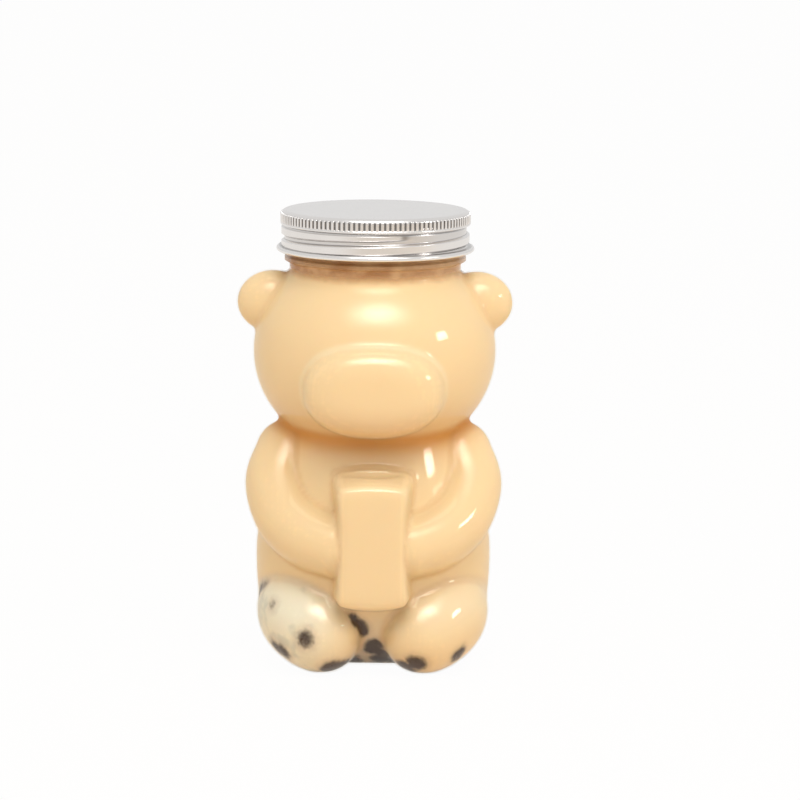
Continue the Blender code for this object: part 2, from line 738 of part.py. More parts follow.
def pearl_mesh(radius, centre, number):
    """One tapioca pearl, each turned its own way."""
    bm = bmesh.new()
    bmesh.ops.create_icosphere(bm, subdivisions=PEARL_DETAIL, radius=radius)
    mesh = to_mesh("pearl", bm)
    turn = Matrix.Rotation(number, 4, Vector((math.cos(number), math.sin(number), 0.5)))
    mesh.transform(Matrix.Translation(centre) @ turn)
    return mesh


def settle_pearls(inside):
    """Roll pearls out to the bottle's wall at their heights, then let the rest fall between them."""
    wall = BVHTree.FromPolygons([v.co for v in inside.vertices], [p.vertices for p in inside.polygons])
    reach = PEARL_RADIUS + GAP
    resting = []

    def free(centre):
        nearest, normal, _, distance = wall.find_nearest(centre)
        if distance < reach or (nearest - centre).dot(normal) < 0:
            return False
        return all((centre - other).length > 2 * PEARL_RADIUS + GAP for other in resting)

    def rolled(outwards, height):
        best = None
        for step in range(round(HEAD_HALF_WIDTH / PEARL_STEP)):
            centre = outwards * step * PEARL_STEP + Vector((0, 0, height))
            if free(centre):
                best = centre
            elif best is not None:
                break
        return best

    for degrees, height, hidden in WALL_PEARLS:
        angle = math.radians(degrees)
        outwards = Vector((math.cos(angle), math.sin(angle), 0))
        centre = None
        while centre is None and height < FILL_Z:
            centre = rolled(outwards, height)
            height += PEARL_STEP
        resting.append(centre - outwards * hidden)
    for x, y in INNER_PEARLS:
        centre = Vector((x, y, PEARL_DROP))
        while free(centre - Vector((0, 0, PEARL_STEP))):
            centre = centre - Vector((0, 0, PEARL_STEP))
        resting.append(centre)
    return resting


def make_drink(facets, pearls):
    """The milk tea: it fills the bottle up into the neck and flows round every pearl."""
    body = bear_body(facets, WALL + GAP, FLOOR + GAP, NECK_JOIN_Z - NECK_LAP / 2 - GAP)
    column = drum("column", BORE_RADIUS - GAP, NECK_JOIN_Z - NECK_WALL, FILL_Z, NECK_SIDES)
    drink = combined(body, column, "UNION")
    for number, centre in enumerate(pearls, 1):
        hollow = pearl_mesh(PEARL_RADIUS + PEARL_HOLLOW_MARGIN, centre, number)
        drink = combined(drink, hollow, "DIFFERENCE")
    return largest_body(drink)


# Finishes

def finish(name, colour, roughness, metallic=0.0, transmission=0.0):
    """A plain finish for one piece."""
    material = bpy.data.materials.new(name)
    material.use_nodes = True
    shader = material.node_tree.nodes["Principled BSDF"]
    shader.inputs["Base Color"].default_value = (*colour, 1)
    shader.inputs["Roughness"].default_value = roughness
    shader.inputs["Metallic"].default_value = metallic
    shader.inputs["Transmission Weight"].default_value = transmission
    material.diffuse_color = (*colour, 1)
    return material


def smooth(piece, degrees):
    """Shade a piece smooth, with sharp edges kept above an angle."""
    piece.data.shade_smooth()
    piece.data.set_sharp_from_angle(angle=math.radians(degrees))


def main():
    for old in list(bpy.data.objects):
        bpy.data.objects.remove(old)
    clear_plastic = finish("clear_plastic", (0.90, 0.92, 0.92), 0.05, transmission=1.0)
    aluminium = finish("aluminium", (0.80, 0.80, 0.79), 0.30, metallic=1.0)
    foam = finish("foam", (0.92, 0.92, 0.90), 0.80)
    tea = finish("tea", (0.93, 0.68, 0.42), 0.35)
    tapioca = finish("tapioca", (0.05, 0.025, 0.018), 0.25)

    facets = faceted(make_mould())
    inside = bear_body(facets, WALL, FLOOR, NECK_JOIN_Z)
    pearls = settle_pearls(inside)

    axis = bpy.data.objects.new("screw_axis", None)
    axis.location = SCREW_AXIS
    bpy.context.collection.objects.link(axis)
    pieces = [
        add_object("bottle_body", make_bottle(facets), clear_plastic),
        add_object("milk_tea", make_drink(facets, pearls), tea),
        add_object("cap_shell", make_cap(), aluminium),
        add_object("cap_liner", make_liner(), foam),
    ]
    for number, centre in enumerate(pearls, 1):
        mesh = pearl_mesh(PEARL_RADIUS, centre, number)
        pieces.append(add_object(f"tapioca_pearl_{number:02d}", mesh, tapioca))
    for piece in pieces:
        piece.parent = axis
        smooth(piece, 40)
    print(f"rim at {RIM_Z * 1000:.2f} mm, cap top at {CAP_TOP_Z * 1000:.2f} mm, {len(pearls)} pearls")
    for piece in bpy.context.collection.objects:
        if piece.type == "MESH":
            triangles = sum(len(face.vertices) - 2 for face in piece.data.polygons)
            if not piece.name.startswith("tapioca") or piece.name.endswith("01"):
                print(f"{piece.name}: {triangles} triangles")


main()
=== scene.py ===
# %% [markdown]
# # A bear-shaped drinks bottle
#
# The object is a clear blown bottle in the form of a seated bear, full of milk tea with tapioca
# pearls, under an aluminium screw cap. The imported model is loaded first. It fixes where every
# piece is and how the cap moves; this script only makes the pieces look like the real ones.

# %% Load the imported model
import json
import math

import bmesh
import bpy
import numpy as np
from mathutils import Matrix, Vector

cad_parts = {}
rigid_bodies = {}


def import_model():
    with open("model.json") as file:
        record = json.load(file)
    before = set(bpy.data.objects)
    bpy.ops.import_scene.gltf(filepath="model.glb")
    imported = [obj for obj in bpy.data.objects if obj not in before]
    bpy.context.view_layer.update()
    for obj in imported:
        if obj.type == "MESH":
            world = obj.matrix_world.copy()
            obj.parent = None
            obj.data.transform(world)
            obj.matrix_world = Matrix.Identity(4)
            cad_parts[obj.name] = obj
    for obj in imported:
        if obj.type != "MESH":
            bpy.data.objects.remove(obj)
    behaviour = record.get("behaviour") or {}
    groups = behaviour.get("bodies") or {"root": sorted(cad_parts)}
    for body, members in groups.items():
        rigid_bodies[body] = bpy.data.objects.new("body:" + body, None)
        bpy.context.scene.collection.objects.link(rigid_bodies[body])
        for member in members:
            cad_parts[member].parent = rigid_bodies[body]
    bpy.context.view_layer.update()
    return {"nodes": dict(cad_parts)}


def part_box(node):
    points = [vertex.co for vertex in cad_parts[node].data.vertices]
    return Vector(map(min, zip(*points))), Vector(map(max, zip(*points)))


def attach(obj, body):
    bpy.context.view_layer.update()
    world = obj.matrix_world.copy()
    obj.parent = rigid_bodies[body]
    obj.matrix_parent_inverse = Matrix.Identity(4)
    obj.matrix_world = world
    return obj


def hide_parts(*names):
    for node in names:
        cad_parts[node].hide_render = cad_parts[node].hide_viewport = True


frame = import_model()
rim_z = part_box("bottle_body")[1][2]
cap_top_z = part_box("cap_shell")[1][2]
liner_low, liner_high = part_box("cap_liner")
screw_axis = Vector(((liner_low[0] + liner_high[0]) / 2, (liner_low[1] + liner_high[1]) / 2, 0))
print("rim", round(rim_z, 5), "cap top", round(cap_top_z, 5), "screw axis", screw_axis[:])

# %% [markdown]
# ## Small mesh helpers
#
# Every piece is built round the screw axis at x = y = 0 and moved onto it at the very end, so that
# its object can stay at the origin. Turned pieces are stacks of rings.

# %% Rings and skins
TURN = 2 * math.pi
WELD = 0.00004


def ring(radius, height, count):
    """Points round the screw axis. The radius may be one number or one for each point."""
    angles = np.arange(count) * TURN / count
    radius = np.broadcast_to(radius, count)
    height = np.broadcast_to(height, count)
    return np.stack((radius * np.cos(angles), radius * np.sin(angles), height), axis=1)


def add_rings(bm, rings):
    """Skin neighbouring rings of the same count and return their rows of points."""
    rows = [[bm.verts.new(p) for p in points] for points in rings]
    for one, two in zip(rows, rows[1:]):
        for i in range(len(one)):
            j = (i + 1) % len(one)
            bm.faces.new((one[i], one[j], two[j], two[i]))
    return rows


def close_with_point(bm, row, point):
    """Fan the last ring in to a point on the axis."""
    middle = bm.verts.new(point)
    for i in range(len(row)):
        bm.faces.new((row[i], row[(i + 1) % len(row)], middle))


def stitch(bm, one, two):
    """Join two rings of points with different counts, walking both by angle."""
    def by_angle(row):
        """Points with their angles. Those that a cut left almost together are welded first."""
        bmesh.ops.remove_doubles(bm, verts=row, dist=WELD)
        row = [v for v in row if v.is_valid]
        return sorted(((math.atan2(v.co.y, v.co.x) % TURN, v) for v in row), key=lambda p: p[0])

    one, two = by_angle(one), by_angle(two)
    i = j = 0
    while i < len(one) or j < len(two):
        next_one = one[i + 1][0] if i + 1 < len(one) else one[0][0] + TURN
        next_two = two[j + 1][0] if j + 1 < len(two) else two[0][0] + TURN
        a, b = one[i % len(one)][1], two[j % len(two)][1]
        if j >= len(two) or (i < len(one) and next_one <= next_two):
            i += 1
            bm.faces.new((a, one[i % len(one)][1], b))
        else:
            j += 1
            bm.faces.new((a, two[j % len(two)][1], b))


# %% Objects and pieces
def new_object(name, bm):
    """An object of the scene with this mesh."""
    mesh = bpy.data.meshes.new(name)
    bm.to_mesh(mesh)
    bm.free()
    thing = bpy.data.objects.new(name, mesh)
    bpy.context.collection.objects.link(thing)
    return thing


def made_by_modifier(maker):
    """The mesh that an object's modifier makes. The object itself is removed."""
    graph = bpy.context.evaluated_depsgraph_get()
    mesh = bpy.data.meshes.new_from_object(maker.evaluated_get(graph))
    bpy.data.objects.remove(maker)
    return mesh


def add_piece(name, bm, body, replaces=()):
    """Finish a piece's mesh, put it in place, hide the parts it replaces and hang it on its body.
    """
    bmesh.ops.recalc_face_normals(bm, faces=bm.faces[:])
    bmesh.ops.translate(bm, vec=screw_axis, verts=bm.verts[:])
    piece = new_object(name, bm)
    mesh = piece.data
    mesh.shade_smooth()
    if replaces:
        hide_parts(*replaces)
    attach(piece, body)
    print(name, sum(len(face.vertices) - 2 for face in mesh.polygons), "triangles")
    return piece


# %% Numbers along a ramp and on a piece
def own_points(piece):
    """A finished piece's points, measured from the screw axis."""
    points = np.empty(3 * len(piece.data.vertices))
    piece.data.vertices.foreach_get("co", points)
    return points.reshape(-1, 3) - np.array(screw_axis)


def store(piece, name, values):
    """Store a number at each point of a piece, for its shader to read."""
    piece.data.attributes.new(name, "FLOAT", "POINT").data.foreach_set("value", values)


def smoothstep(low, high, value):
    """0 below low, 1 above high and a smooth ramp between."""
    t = np.clip((value - low) / (high - low), 0, 1)
    return t * t * (3 - 2 * t)


# %% [markdown]
# ## The bear's form
#
# A blown bottle takes the form of its mould, and this mould is a handful of rounded lobes that
# run into each other. Each lobe is a formula for the distance outside it. Blending the distances
# gives soft creases of a chosen width, as a blown wall has, where a plain boolean would give
# knife cuts. The same sizes shape the CAD solid.

# %% Sizes of the lobes
HEAD_Z = 0.1074
HEAD = (0.0416, 0.0392, 0.0372)
MUZZLE = (0.0240, 0.0160, 0.0166)
MUZZLE_REACH = 0.0060
MUZZLE_DROP = 0.0086
MUZZLE_OUTLINE = 2.25
MUZZLE_SQUARENESS = 3.2
EAR = (0.0126, 0.0085, 0.0110)
EAR_PLACE = (0.0346, 0.0, 0.0165)
TORSO = np.array((
    (-0.0040, 0.0262, 0.0105, 0.0230),
    (-0.0010, 0.0302, 0.0134, 0.0268),
    (0.0035, 0.0340, 0.0190, 0.0300),
    (0.0090, 0.0362, 0.0238, 0.0320),
    (0.0200, 0.0392, 0.0290, 0.0338),
    (0.0320, 0.0404, 0.0322, 0.0348),
    (0.0440, 0.0401, 0.0334, 0.0346),
    (0.0550, 0.0376, 0.0325, 0.0336),
    (0.0660, 0.0343, 0.0302, 0.0315),
    (0.0760, 0.0312, 0.0272, 0.0290),
    (0.0860, 0.0280, 0.0240, 0.0260),
))
ARM = np.array((
    (0.0290, 0.0040, 0.0725, 0.0117),
    (0.0318, 0.0095, 0.0630, 0.0122),
    (0.0284, 0.0180, 0.0532, 0.0119),
    (0.0212, 0.0252, 0.0476, 0.0115),
    (0.0125, 0.0298, 0.0452, 0.0110),
))
LEG = np.array((
    (0.0235, 0.0070, 0.0215, 0.0160),
    (0.0222, 0.0140, 0.0190, 0.0172),
    (0.0195, 0.0195, 0.0160, 0.0160),
    (0.0175, 0.0225, 0.0140, 0.0145),
))
BLOCK = np.array((0.0124, 0.0150, 0.0200))
BLOCK_FRONT = 0.0425
BLOCK_Z = 0.0462
BLOCK_PINCH = 0.10
BLOCK_DOME = 0.08
BLOCK_SIDE_SLANT = 0.16
BLOCK_TOP_SLANT = 0.20
BLOCK_SQUARENESS = 11.0
BODY_BLEND = 0.0024
LIMB_BLEND = 0.0018
FACE_BLEND = 0.0014
LIMB_FAR = 0.006
print("head", *(round(2000 * radius) for radius in HEAD), "mm")

# %% Sizes of the neck and the base
NECK_ROOT_RADIUS = 0.0291
NECK_ROOT_HEIGHT = 0.0030
NECK_RADIUS = 0.0299
NECK_WALL = 0.0021
RING_PROJECTION = 0.0009
RING_HEIGHT = 0.0021
SEAT = 0.0003
NECK_JOIN_Z = (
    HEAD_Z + HEAD[2] * math.sqrt(1 - (NECK_ROOT_RADIUS / HEAD[0]) ** 2) + BODY_BLEND / 2
)
RING_BOTTOM_Z = NECK_JOIN_Z + NECK_ROOT_HEIGHT
RING_TOP_Z = RING_BOTTOM_Z + RING_HEIGHT
BORE_RADIUS = NECK_RADIUS - NECK_WALL
FILL_Z = rim_z - 0.0080
DENT = (0.0220, 0.0170, 0.0026)
FOOT_ROUNDING = 0.0007
FOOT_SINK = 0.02 * FOOT_ROUNDING
print("neck joins at", round(NECK_JOIN_Z, 5), "support ring at", round(RING_BOTTOM_Z, 5))


# %% Smooth lines through a few stations
def through(at, places, values):
    """A smooth curve through values, read at any places."""
    slopes = np.gradient(values, places)
    i = np.clip(np.searchsorted(places, at) - 1, 0, len(places) - 2)
    width = places[i + 1] - places[i]
    t = np.clip((at - places[i]) / width, 0, 1)
    return (
        values[i] * (2 * t**3 - 3 * t**2 + 1)
        + slopes[i] * width * (t**3 - 2 * t**2 + t)
        + values[i + 1] * (3 * t**2 - 2 * t**3)
        + slopes[i + 1] * width * (t**3 - t**2)
    )


def limb_line(stations, steps=6):
    """Centres and radii along a limb's smooth line, on the +X side."""
    knots = np.arange(len(stations), dtype=float)
    at = np.linspace(0, len(stations) - 1, steps * (len(stations) - 1) + 1)
    side, front, height, radius = (through(at, knots, stations[:, i]) for i in range(4))
    return np.stack((side, -front, height), axis=1), radius


print("an arm's line has", len(limb_line(ARM)[1]), "stations")


# %% Distance outside each lobe
def lobe_distance(offset, radii, outline=2.0, squareness=2.0):
    """Distance outside a rounded lobe, along the line to its centre."""
    x, y, z = np.abs(offset / np.array(radii)).T
    face = (x**outline + z**outline) ** (squareness / outline)
    size = (face + y**squareness) ** (1 / squareness) + 1e-9
    return np.linalg.norm(offset, axis=1) * (1 - 1 / size)


def limb_distance(points, stations):
    """Distance outside a limb. Points far from it are skipped, which saves most of the time."""
    centres, radii = limb_line(stations)
    margin = radii.max() + LIMB_FAR
    low, high = centres.min(axis=0) - margin, centres.max(axis=0) + margin
    close = ((points > low) & (points < high)).all(axis=1)
    near = points[close]
    nearest = np.full(len(near), np.inf)
    for start, end, r0, r1 in zip(centres, centres[1:], radii, radii[1:]):
        along = end - start
        t = np.clip((near - start) @ along / (along @ along), 0, 1)
        gap = np.linalg.norm(near - start - t[:, None] * along, axis=1)
        nearest = np.minimum(nearest, gap - r0 - (r1 - r0) * t)
    everywhere = np.full(len(points), LIMB_FAR)
    everywhere[close] = np.minimum(nearest, LIMB_FAR)
    return everywhere


def torso_distance(points):
    """Distance outside the torso, level with each point."""
    heights, widths, fronts, backs = TORSO.T
    x, y, z = points.T
    width = through(z, heights, widths)
    depth = np.where(y < 0, through(z, heights, fronts), through(z, heights, backs))
    size = np.hypot(x / width, y / depth) + 1e-9
    return np.maximum(np.hypot(x, y) * (1 - 1 / size), z - heights[-1])


def block_distance(points):
    """Distance outside the block, whose sides pinch at mid height and slant back to the chest."""
    offset = points - (0, BLOCK[1] - BLOCK_FRONT, BLOCK_Z)
    x, y, z = (offset / BLOCK).T
    back = np.clip(1 + y, 0, 2)
    width = (1 - BLOCK_PINCH * (1 - np.clip(z, -1, 1) ** 2)) * (1 + BLOCK_SIDE_SLANT * back)
    dome = 1 + BLOCK_DOME * (1 - np.clip(x, -1, 1) ** 2)
    height = dome * np.where(z > 0, 1 + BLOCK_TOP_SLANT * back, 1)
    shaped = np.stack((offset[:, 0] / width, offset[:, 1], offset[:, 2] / height), axis=1)
    return lobe_distance(shaped, BLOCK, BLOCK_SQUARENESS, BLOCK_SQUARENESS)


def blended(one, other, width):
    """The lesser of two distances, rounded where they are within a width of each other."""
    overlap = np.maximum(width - np.abs(one - other), 0) / width
    return np.minimum(one, other) - overlap**2 * width / 4


# %% Distance outside the whole bear
def lobe_distances(points):
    """The distance outside every lobe by name. The bear is the same on both sides."""
    points = np.stack((np.abs(points[:, 0]), points[:, 1], points[:, 2]), axis=1)
    head = points - (0, 0, HEAD_Z)
    muzzle = head - (0, MUZZLE[1] - HEAD[1] - MUZZLE_REACH, -MUZZLE_DROP)
    neck = np.hypot(points[:, 0], points[:, 1]) - NECK_ROOT_RADIUS + SEAT
    return {
        "head": lobe_distance(head, HEAD),
        "muzzle": lobe_distance(muzzle, MUZZLE, MUZZLE_OUTLINE, MUZZLE_SQUARENESS),
        "ears": lobe_distance(head - EAR_PLACE, EAR),
        "neck": np.maximum(neck, np.maximum(-head[:, 2], points[:, 2] - RING_TOP_Z)),
        "torso": torso_distance(points),
        "arms": limb_distance(points, ARM),
        "legs": limb_distance(points, LEG),
        "block": block_distance(points),
    }


def bear_distance(points):
    """Distance outside the whole bear."""
    lobe = lobe_distances(points)
    form = blended(lobe["torso"], lobe["legs"], LIMB_BLEND)
    form = blended(form, lobe["arms"], LIMB_BLEND)
    skull = blended(blended(lobe["head"], lobe["ears"], FACE_BLEND), lobe["muzzle"], FACE_BLEND)
    form = blended(form, blended(skull, lobe["neck"], BODY_BLEND), BODY_BLEND)
    return blended(form, lobe["block"], FACE_BLEND)


print("the head's middle is", -bear_distance(np.array([[0, 0, HEAD_Z]]))[0].round(4), "m deep")

# %% [markdown]
# ## From distances to a mesh
#
# Rough lobes are fused on a grid by a voxel remesh, which gives even points but a bumpy surface.
# Each point then steps along the slope of the distance until it lies on the smooth form. The
# base is pressed flat on the table and pushed up in the middle, as every blown bottle has it, so
# that it stands on a ring. An inset copy, along the slopes, makes the wall's inner side.

# %% Fuse the rough lobes on a grid
def add_ball(bm, centre, radii):
    """A ball stretched to three radii."""
    verts = bmesh.ops.create_icosphere(bm, subdivisions=3, radius=1)["verts"]
    place = Matrix.Translation(centre) @ Matrix.Diagonal((*radii, 1))
    bmesh.ops.transform(bm, matrix=place, verts=verts)


def rough_lobes():
    """Every lobe as a plain closed shape, all in one mesh."""
    bm = bmesh.new()
    add_ball(bm, (0, 0, HEAD_Z), HEAD)
    add_ball(bm, (0, MUZZLE[1] - HEAD[1] - MUZZLE_REACH, HEAD_Z - MUZZLE_DROP), MUZZLE)
    for side in (-1, 1):
        add_ball(bm, (side * EAR_PLACE[0], EAR_PLACE[1], HEAD_Z + EAR_PLACE[2]), EAR)
        for stations in (ARM, LEG):
            for centre, radius in zip(*limb_line(stations, 4)):
                add_ball(bm, (side * centre[0], centre[1], centre[2]), (radius,) * 3)
    cube = bmesh.ops.create_cube(bm, size=2)["verts"]
    place = Matrix.Translation((0, BLOCK[1] - BLOCK_FRONT, BLOCK_Z)) @ Matrix.Diagonal((*BLOCK, 1))
    bmesh.ops.transform(bm, matrix=place, verts=cube)
    sections = []
    for height, width, front, back in TORSO:
        points = ring(1.0, height, 64)
        points[:, 1] *= np.where(points[:, 1] < 0, front, back)
        points[:, 0] *= width
        sections.append(points)
    neck = [ring(NECK_ROOT_RADIUS - SEAT, z, 64) for z in (HEAD_Z, RING_TOP_Z)]
    for stack in (sections, neck):
        rows = add_rings(bm, stack)
        bm.faces.new(rows[0][::-1])
        bm.faces.new(rows[-1])
    return bm


def fused(grain):
    """The rough lobes fused by a voxel remesh: points and faces as arrays."""
    rough = new_object("rough", rough_lobes())
    remesh = rough.modifiers.new("Fuse", "REMESH")
    remesh.mode = "VOXEL"
    remesh.voxel_size = grain
    result = made_by_modifier(rough)
    points = np.empty(3 * len(result.vertices))
    result.vertices.foreach_get("co", points)
    corners = np.empty(len(result.loops), int)
    result.loops.foreach_get("vertex_index", corners)
    bpy.data.meshes.remove(result)
    return points.reshape(-1, 3), corners.reshape(-1, 4)


# %% Draw the points onto the smooth form
def slope_at(points, here):
    """Which way the distance grows, and how fast, from three small steps."""
    probe = 0.00002
    steps = [(bear_distance(points + probe * axis) - here) / probe for axis in np.eye(3)]
    return np.stack(steps, axis=1)


def outwards_at(points):
    """The outward direction at each point."""
    slope = slope_at(points, bear_distance(points))
    return slope / np.linalg.norm(slope, axis=1)[:, None]


def drawn(points, rounds=3, longest=0.0012, flattest=0.25):
    """Points moved onto the smooth form, in a few rounds of short steps."""
    for _ in range(rounds):
        here = bear_distance(points)
        slope = slope_at(points, here)
        move = -here / np.maximum((slope**2).sum(axis=1), flattest)
        points = points + np.clip(move, -longest, longest)[:, None] * slope
    return points


# %% The flat base and the open neck
def base_height(points):
    """The height of the base over the table: nothing on its ring, and a low dome within.

    The dome is the upper half of an ellipsoid twice as high, so that it meets the ring at an edge.
    """
    half_width, half_depth, height = DENT
    widening = 1 / math.sqrt(1 - 0.5**2)
    inside = 1 - (points[:, 0] / half_width) ** 2 / widening**2
    inside -= (points[:, 1] / half_depth) ** 2 / widening**2
    return np.maximum(0, 2 * height * np.sqrt(np.maximum(inside, 0)) - height)


def bear_surface(grain, inset):
    """The bear's form at an inset from the mould, as points and faces."""
    points, faces = fused(grain)
    points = drawn(points)
    points = points - inset * outwards_at(points)
    base = base_height(points) + inset
    above = points[:, 2] - base
    pressed = (above + np.sqrt(above**2 + FOOT_ROUNDING**2)) / 2
    points[:, 2] = base + pressed - FOOT_SINK
    return points, faces


def open_at_neck(points, faces, height):
    """A mesh of the form, open at a height, and the points round its opening."""
    bm = bmesh.new()
    verts = [bm.verts.new(p) for p in points]
    for face in faces:
        bm.faces.new([verts[i] for i in face])
    cut = bmesh.ops.bisect_plane(
        bm,
        geom=bm.verts[:] + bm.edges[:] + bm.faces[:],
        plane_co=(0, 0, height),
        plane_no=(0, 0, 1),
        clear_outer=True,
    )
    return bm, [item for item in cut["geom_cut"] if isinstance(item, bmesh.types.BMVert)]


# %% [markdown]
# ## The bottle
#
# The bottle is one closed wall: the bear outside, up the neck with its support ring and screw
# thread, over the rounded rim, down the bore and back round the bear's inner side. The thread is a
# ridge on the neck's radius that climbs one pitch for each turn, and it fades at both ends as a
# moulded thread does. The wall drawn here is as thin as a blown one is.

# %% The screw thread
THREAD_PITCH = 0.0047
THREAD_PROJECTION = 0.0011
THREAD_TURNS = 1.25
THREAD_CREST, THREAD_FOOT, THREAD_FADE = 0.00030, 0.00090, 0.06
THREAD_TOP_ANGLE = math.radians(250)
THREAD_TOP_Z = rim_z - 0.0038
NECK_COLUMNS = 240
NECK_ROWS, LIP_ROWS, BORE_ROWS = 68, 8, 24


def thread_height(angle):
    """The height of the thread's middle at an angle, which may be more than a turn."""
    return THREAD_TOP_Z + (angle - THREAD_TOP_ANGLE) / TURN * THREAD_PITCH


def thread_ridge(angles, z):
    """How far the neck's thread stands out, from 0 to 1, at each angle and one height."""
    strength = np.zeros(len(angles))
    for turn in range(-3, 3):
        at = angles + turn * TURN
        along = (THREAD_TOP_ANGLE - at) / (THREAD_TURNS * TURN)
        fade = smoothstep(0, THREAD_FADE, along) * smoothstep(0, THREAD_FADE, 1 - along)
        across = 1 - smoothstep(THREAD_CREST, THREAD_FOOT, np.abs(z - thread_height(at)))
        strength = np.maximum(strength, fade * across)
    return strength


print("thread", THREAD_TURNS, "turns, its top end at", round(THREAD_TOP_Z, 5))

# %% The neck's rings, from the shoulder over the rim and down the bore
def bore_at(z):
    """The bore's radius, which widens to the blown body's under the support ring."""
    return BORE_RADIUS + 0.0009 * (1 - smoothstep(RING_BOTTOM_Z, RING_TOP_Z + 0.001, z))


def neck_rings():
    """The neck as a stack of rings: up the outside, over the rim and down the bore."""
    angles = np.arange(NECK_COLUMNS) * TURN / NECK_COLUMNS
    lip = NECK_WALL / 2
    rings = []
    for z in np.linspace(NECK_JOIN_Z + 0.0004, rim_z - lip, NECK_ROWS):
        stand = smoothstep(RING_BOTTOM_Z - 0.0004, RING_BOTTOM_Z + 0.0004, z)
        fall = smoothstep(RING_TOP_Z - 0.0006, RING_TOP_Z + 0.0003, z)
        radius = NECK_ROOT_RADIUS + (NECK_RADIUS - NECK_ROOT_RADIUS) * stand
        radius += RING_PROJECTION * stand * (1 - fall)
        rings.append(ring(radius + THREAD_PROJECTION * thread_ridge(angles, z), z, NECK_COLUMNS))
    for step in range(1, LIP_ROWS + 1):
        turn = math.pi * step / LIP_ROWS
        rings.append(
            ring(NECK_RADIUS - lip + lip * math.cos(turn), rim_z - lip + lip * math.sin(turn),
                 NECK_COLUMNS)
        )
    for z in np.linspace(rim_z - lip - 0.0005, NECK_JOIN_Z - 0.0002, BORE_ROWS):
        rings.append(ring(bore_at(z), z, NECK_COLUMNS))
    return rings


print(len(neck_rings()), "rings")

# %% The bottle's wall
BLOWN_WALL = 0.0004
OUTER_GRAIN = 0.00105
INNER_GRAIN = 0.0020
# Both cuts pass just above the ears' tips, so that only the neck is opened.
INNER_CUT_Z = NECK_JOIN_Z - 0.0004
bm, _ = open_at_neck(*bear_surface(OUTER_GRAIN, 0.0), NECK_JOIN_Z)
inner_bm, _ = open_at_neck(*bear_surface(INNER_GRAIN, BLOWN_WALL), INNER_CUT_Z)
inner_mesh = bpy.data.meshes.new("inner")
inner_bm.to_mesh(inner_mesh)
inner_bm.free()
bm.from_mesh(inner_mesh)
open_rim = [vert for vert in bm.verts if vert.is_boundary]
between_rims = (NECK_JOIN_Z + INNER_CUT_Z) / 2
outer_rim = [vert for vert in open_rim if vert.co.z > between_rims]
inner_rim = [vert for vert in open_rim if vert.co.z <= between_rims]
rows = add_rings(bm, neck_rings())
stitch(bm, outer_rim, rows[0])
stitch(bm, inner_rim, rows[-1])
print("bottle wall: open edges", sum(1 for edge in bm.edges if not edge.is_manifold))
bottle = add_piece("bottle_shell", bm, "bottle", ["bottle_body"])

# %% [markdown]
# ## Milk tea
#
# Milk tea is cloudy, so light goes in a little way and comes out again: it is one surface just
# inside the wall, up to a level in the neck where it curls up at the edge. Where a pearl lies
# against the wall, only a thin film of tea covers it and it shows as a dark spot with soft edges.
# Each point of the surface stores that film's thickness, and how much painted shade it takes
# under the chin and along the lines between the lobes, so that the shader can colour it. A stored
# number bends with the surface; a picture would need a map.

# %% Where the pearls lie
PEARLS = sorted(name for name in frame["nodes"] if name.startswith("tapioca_pearl"))
pearl_places = []
for name in PEARLS:
    low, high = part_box(name)
    pearl_places.append([(low[i] + high[i]) / 2 - screw_axis[i] for i in range(3)])
pearl_places = np.array(pearl_places)
PEARL_RADIUS = 0.0043
print(len(PEARLS), "pearls")

# %% How much tea covers the nearest pearl
WALL_REACH = 0.0035
SPOT_FLOOR = 0.0022
DEEP = 0.01
# Each dark spot at the front: where it touches the wall, in mm, and how hard its pearl is pressed
# there. A pearl that is pressed less than nothing hangs behind some tea and shows faintly.
SPOTS = np.array((
    (-22.6, -35.5, 14.4, 0.05),
    (-30.0, -27.7, 7.9, 0.15),
    (-32.3, -24.9, 8.7, 0.10),
    (-13.4, -31.0, 3.4, 0.30),
    (-10.3, -28.0, 3.0, 0.35),
    (-3.5, -27.4, 16.4, 0.40),
    (-5.6, -28.7, 19.2, 0.25),
    (0.9, -23.0, 8.8, 0.80),
    (3.9, -20.5, 6.0, 0.60),
    (2.6, -18.4, 3.9, 0.50),
    (11.5, -29.4, 3.3, 0.45),
    (14.9, -33.3, 5.5, 0.30),
    (29.2, -28.2, 7.5, 0.25),
    (-36.6, -14.9, 28.3, -0.50),
    (-33.7, -25.6, 23.5, -0.75),
)) / 1000
SPOT_STANDS_FOR = ("tapioca_pearl_01", "tapioca_pearl_04")


def film_over_pearls(points):
    """Thickness of tea over the nearest pearl. A pearl near the wall is taken as touching it."""
    film = np.full(len(points), DEEP)
    for name, place in zip(PEARLS, pearl_places):
        thick = np.linalg.norm(points - place, axis=1) - PEARL_RADIUS
        nearest = thick[points[:, 2] > SPOT_FLOOR].min()
        if nearest < WALL_REACH and name not in SPOT_STANDS_FOR:
            film = np.minimum(film, thick - nearest)
    touch, press = SPOTS[:, :3], SPOTS[:, 3]
    for place, pressed in zip(touch - outwards_at(touch) * PEARL_RADIUS, press):
        film = np.minimum(film, np.linalg.norm(points - place, axis=1) - PEARL_RADIUS - pressed)
    return np.maximum(film, 0)


# %% Painted shade under the chin and along the lines between lobes
# How much of the chin's painted shade the lower half of the head takes.
LOW_FACE_SHADE = 0.42


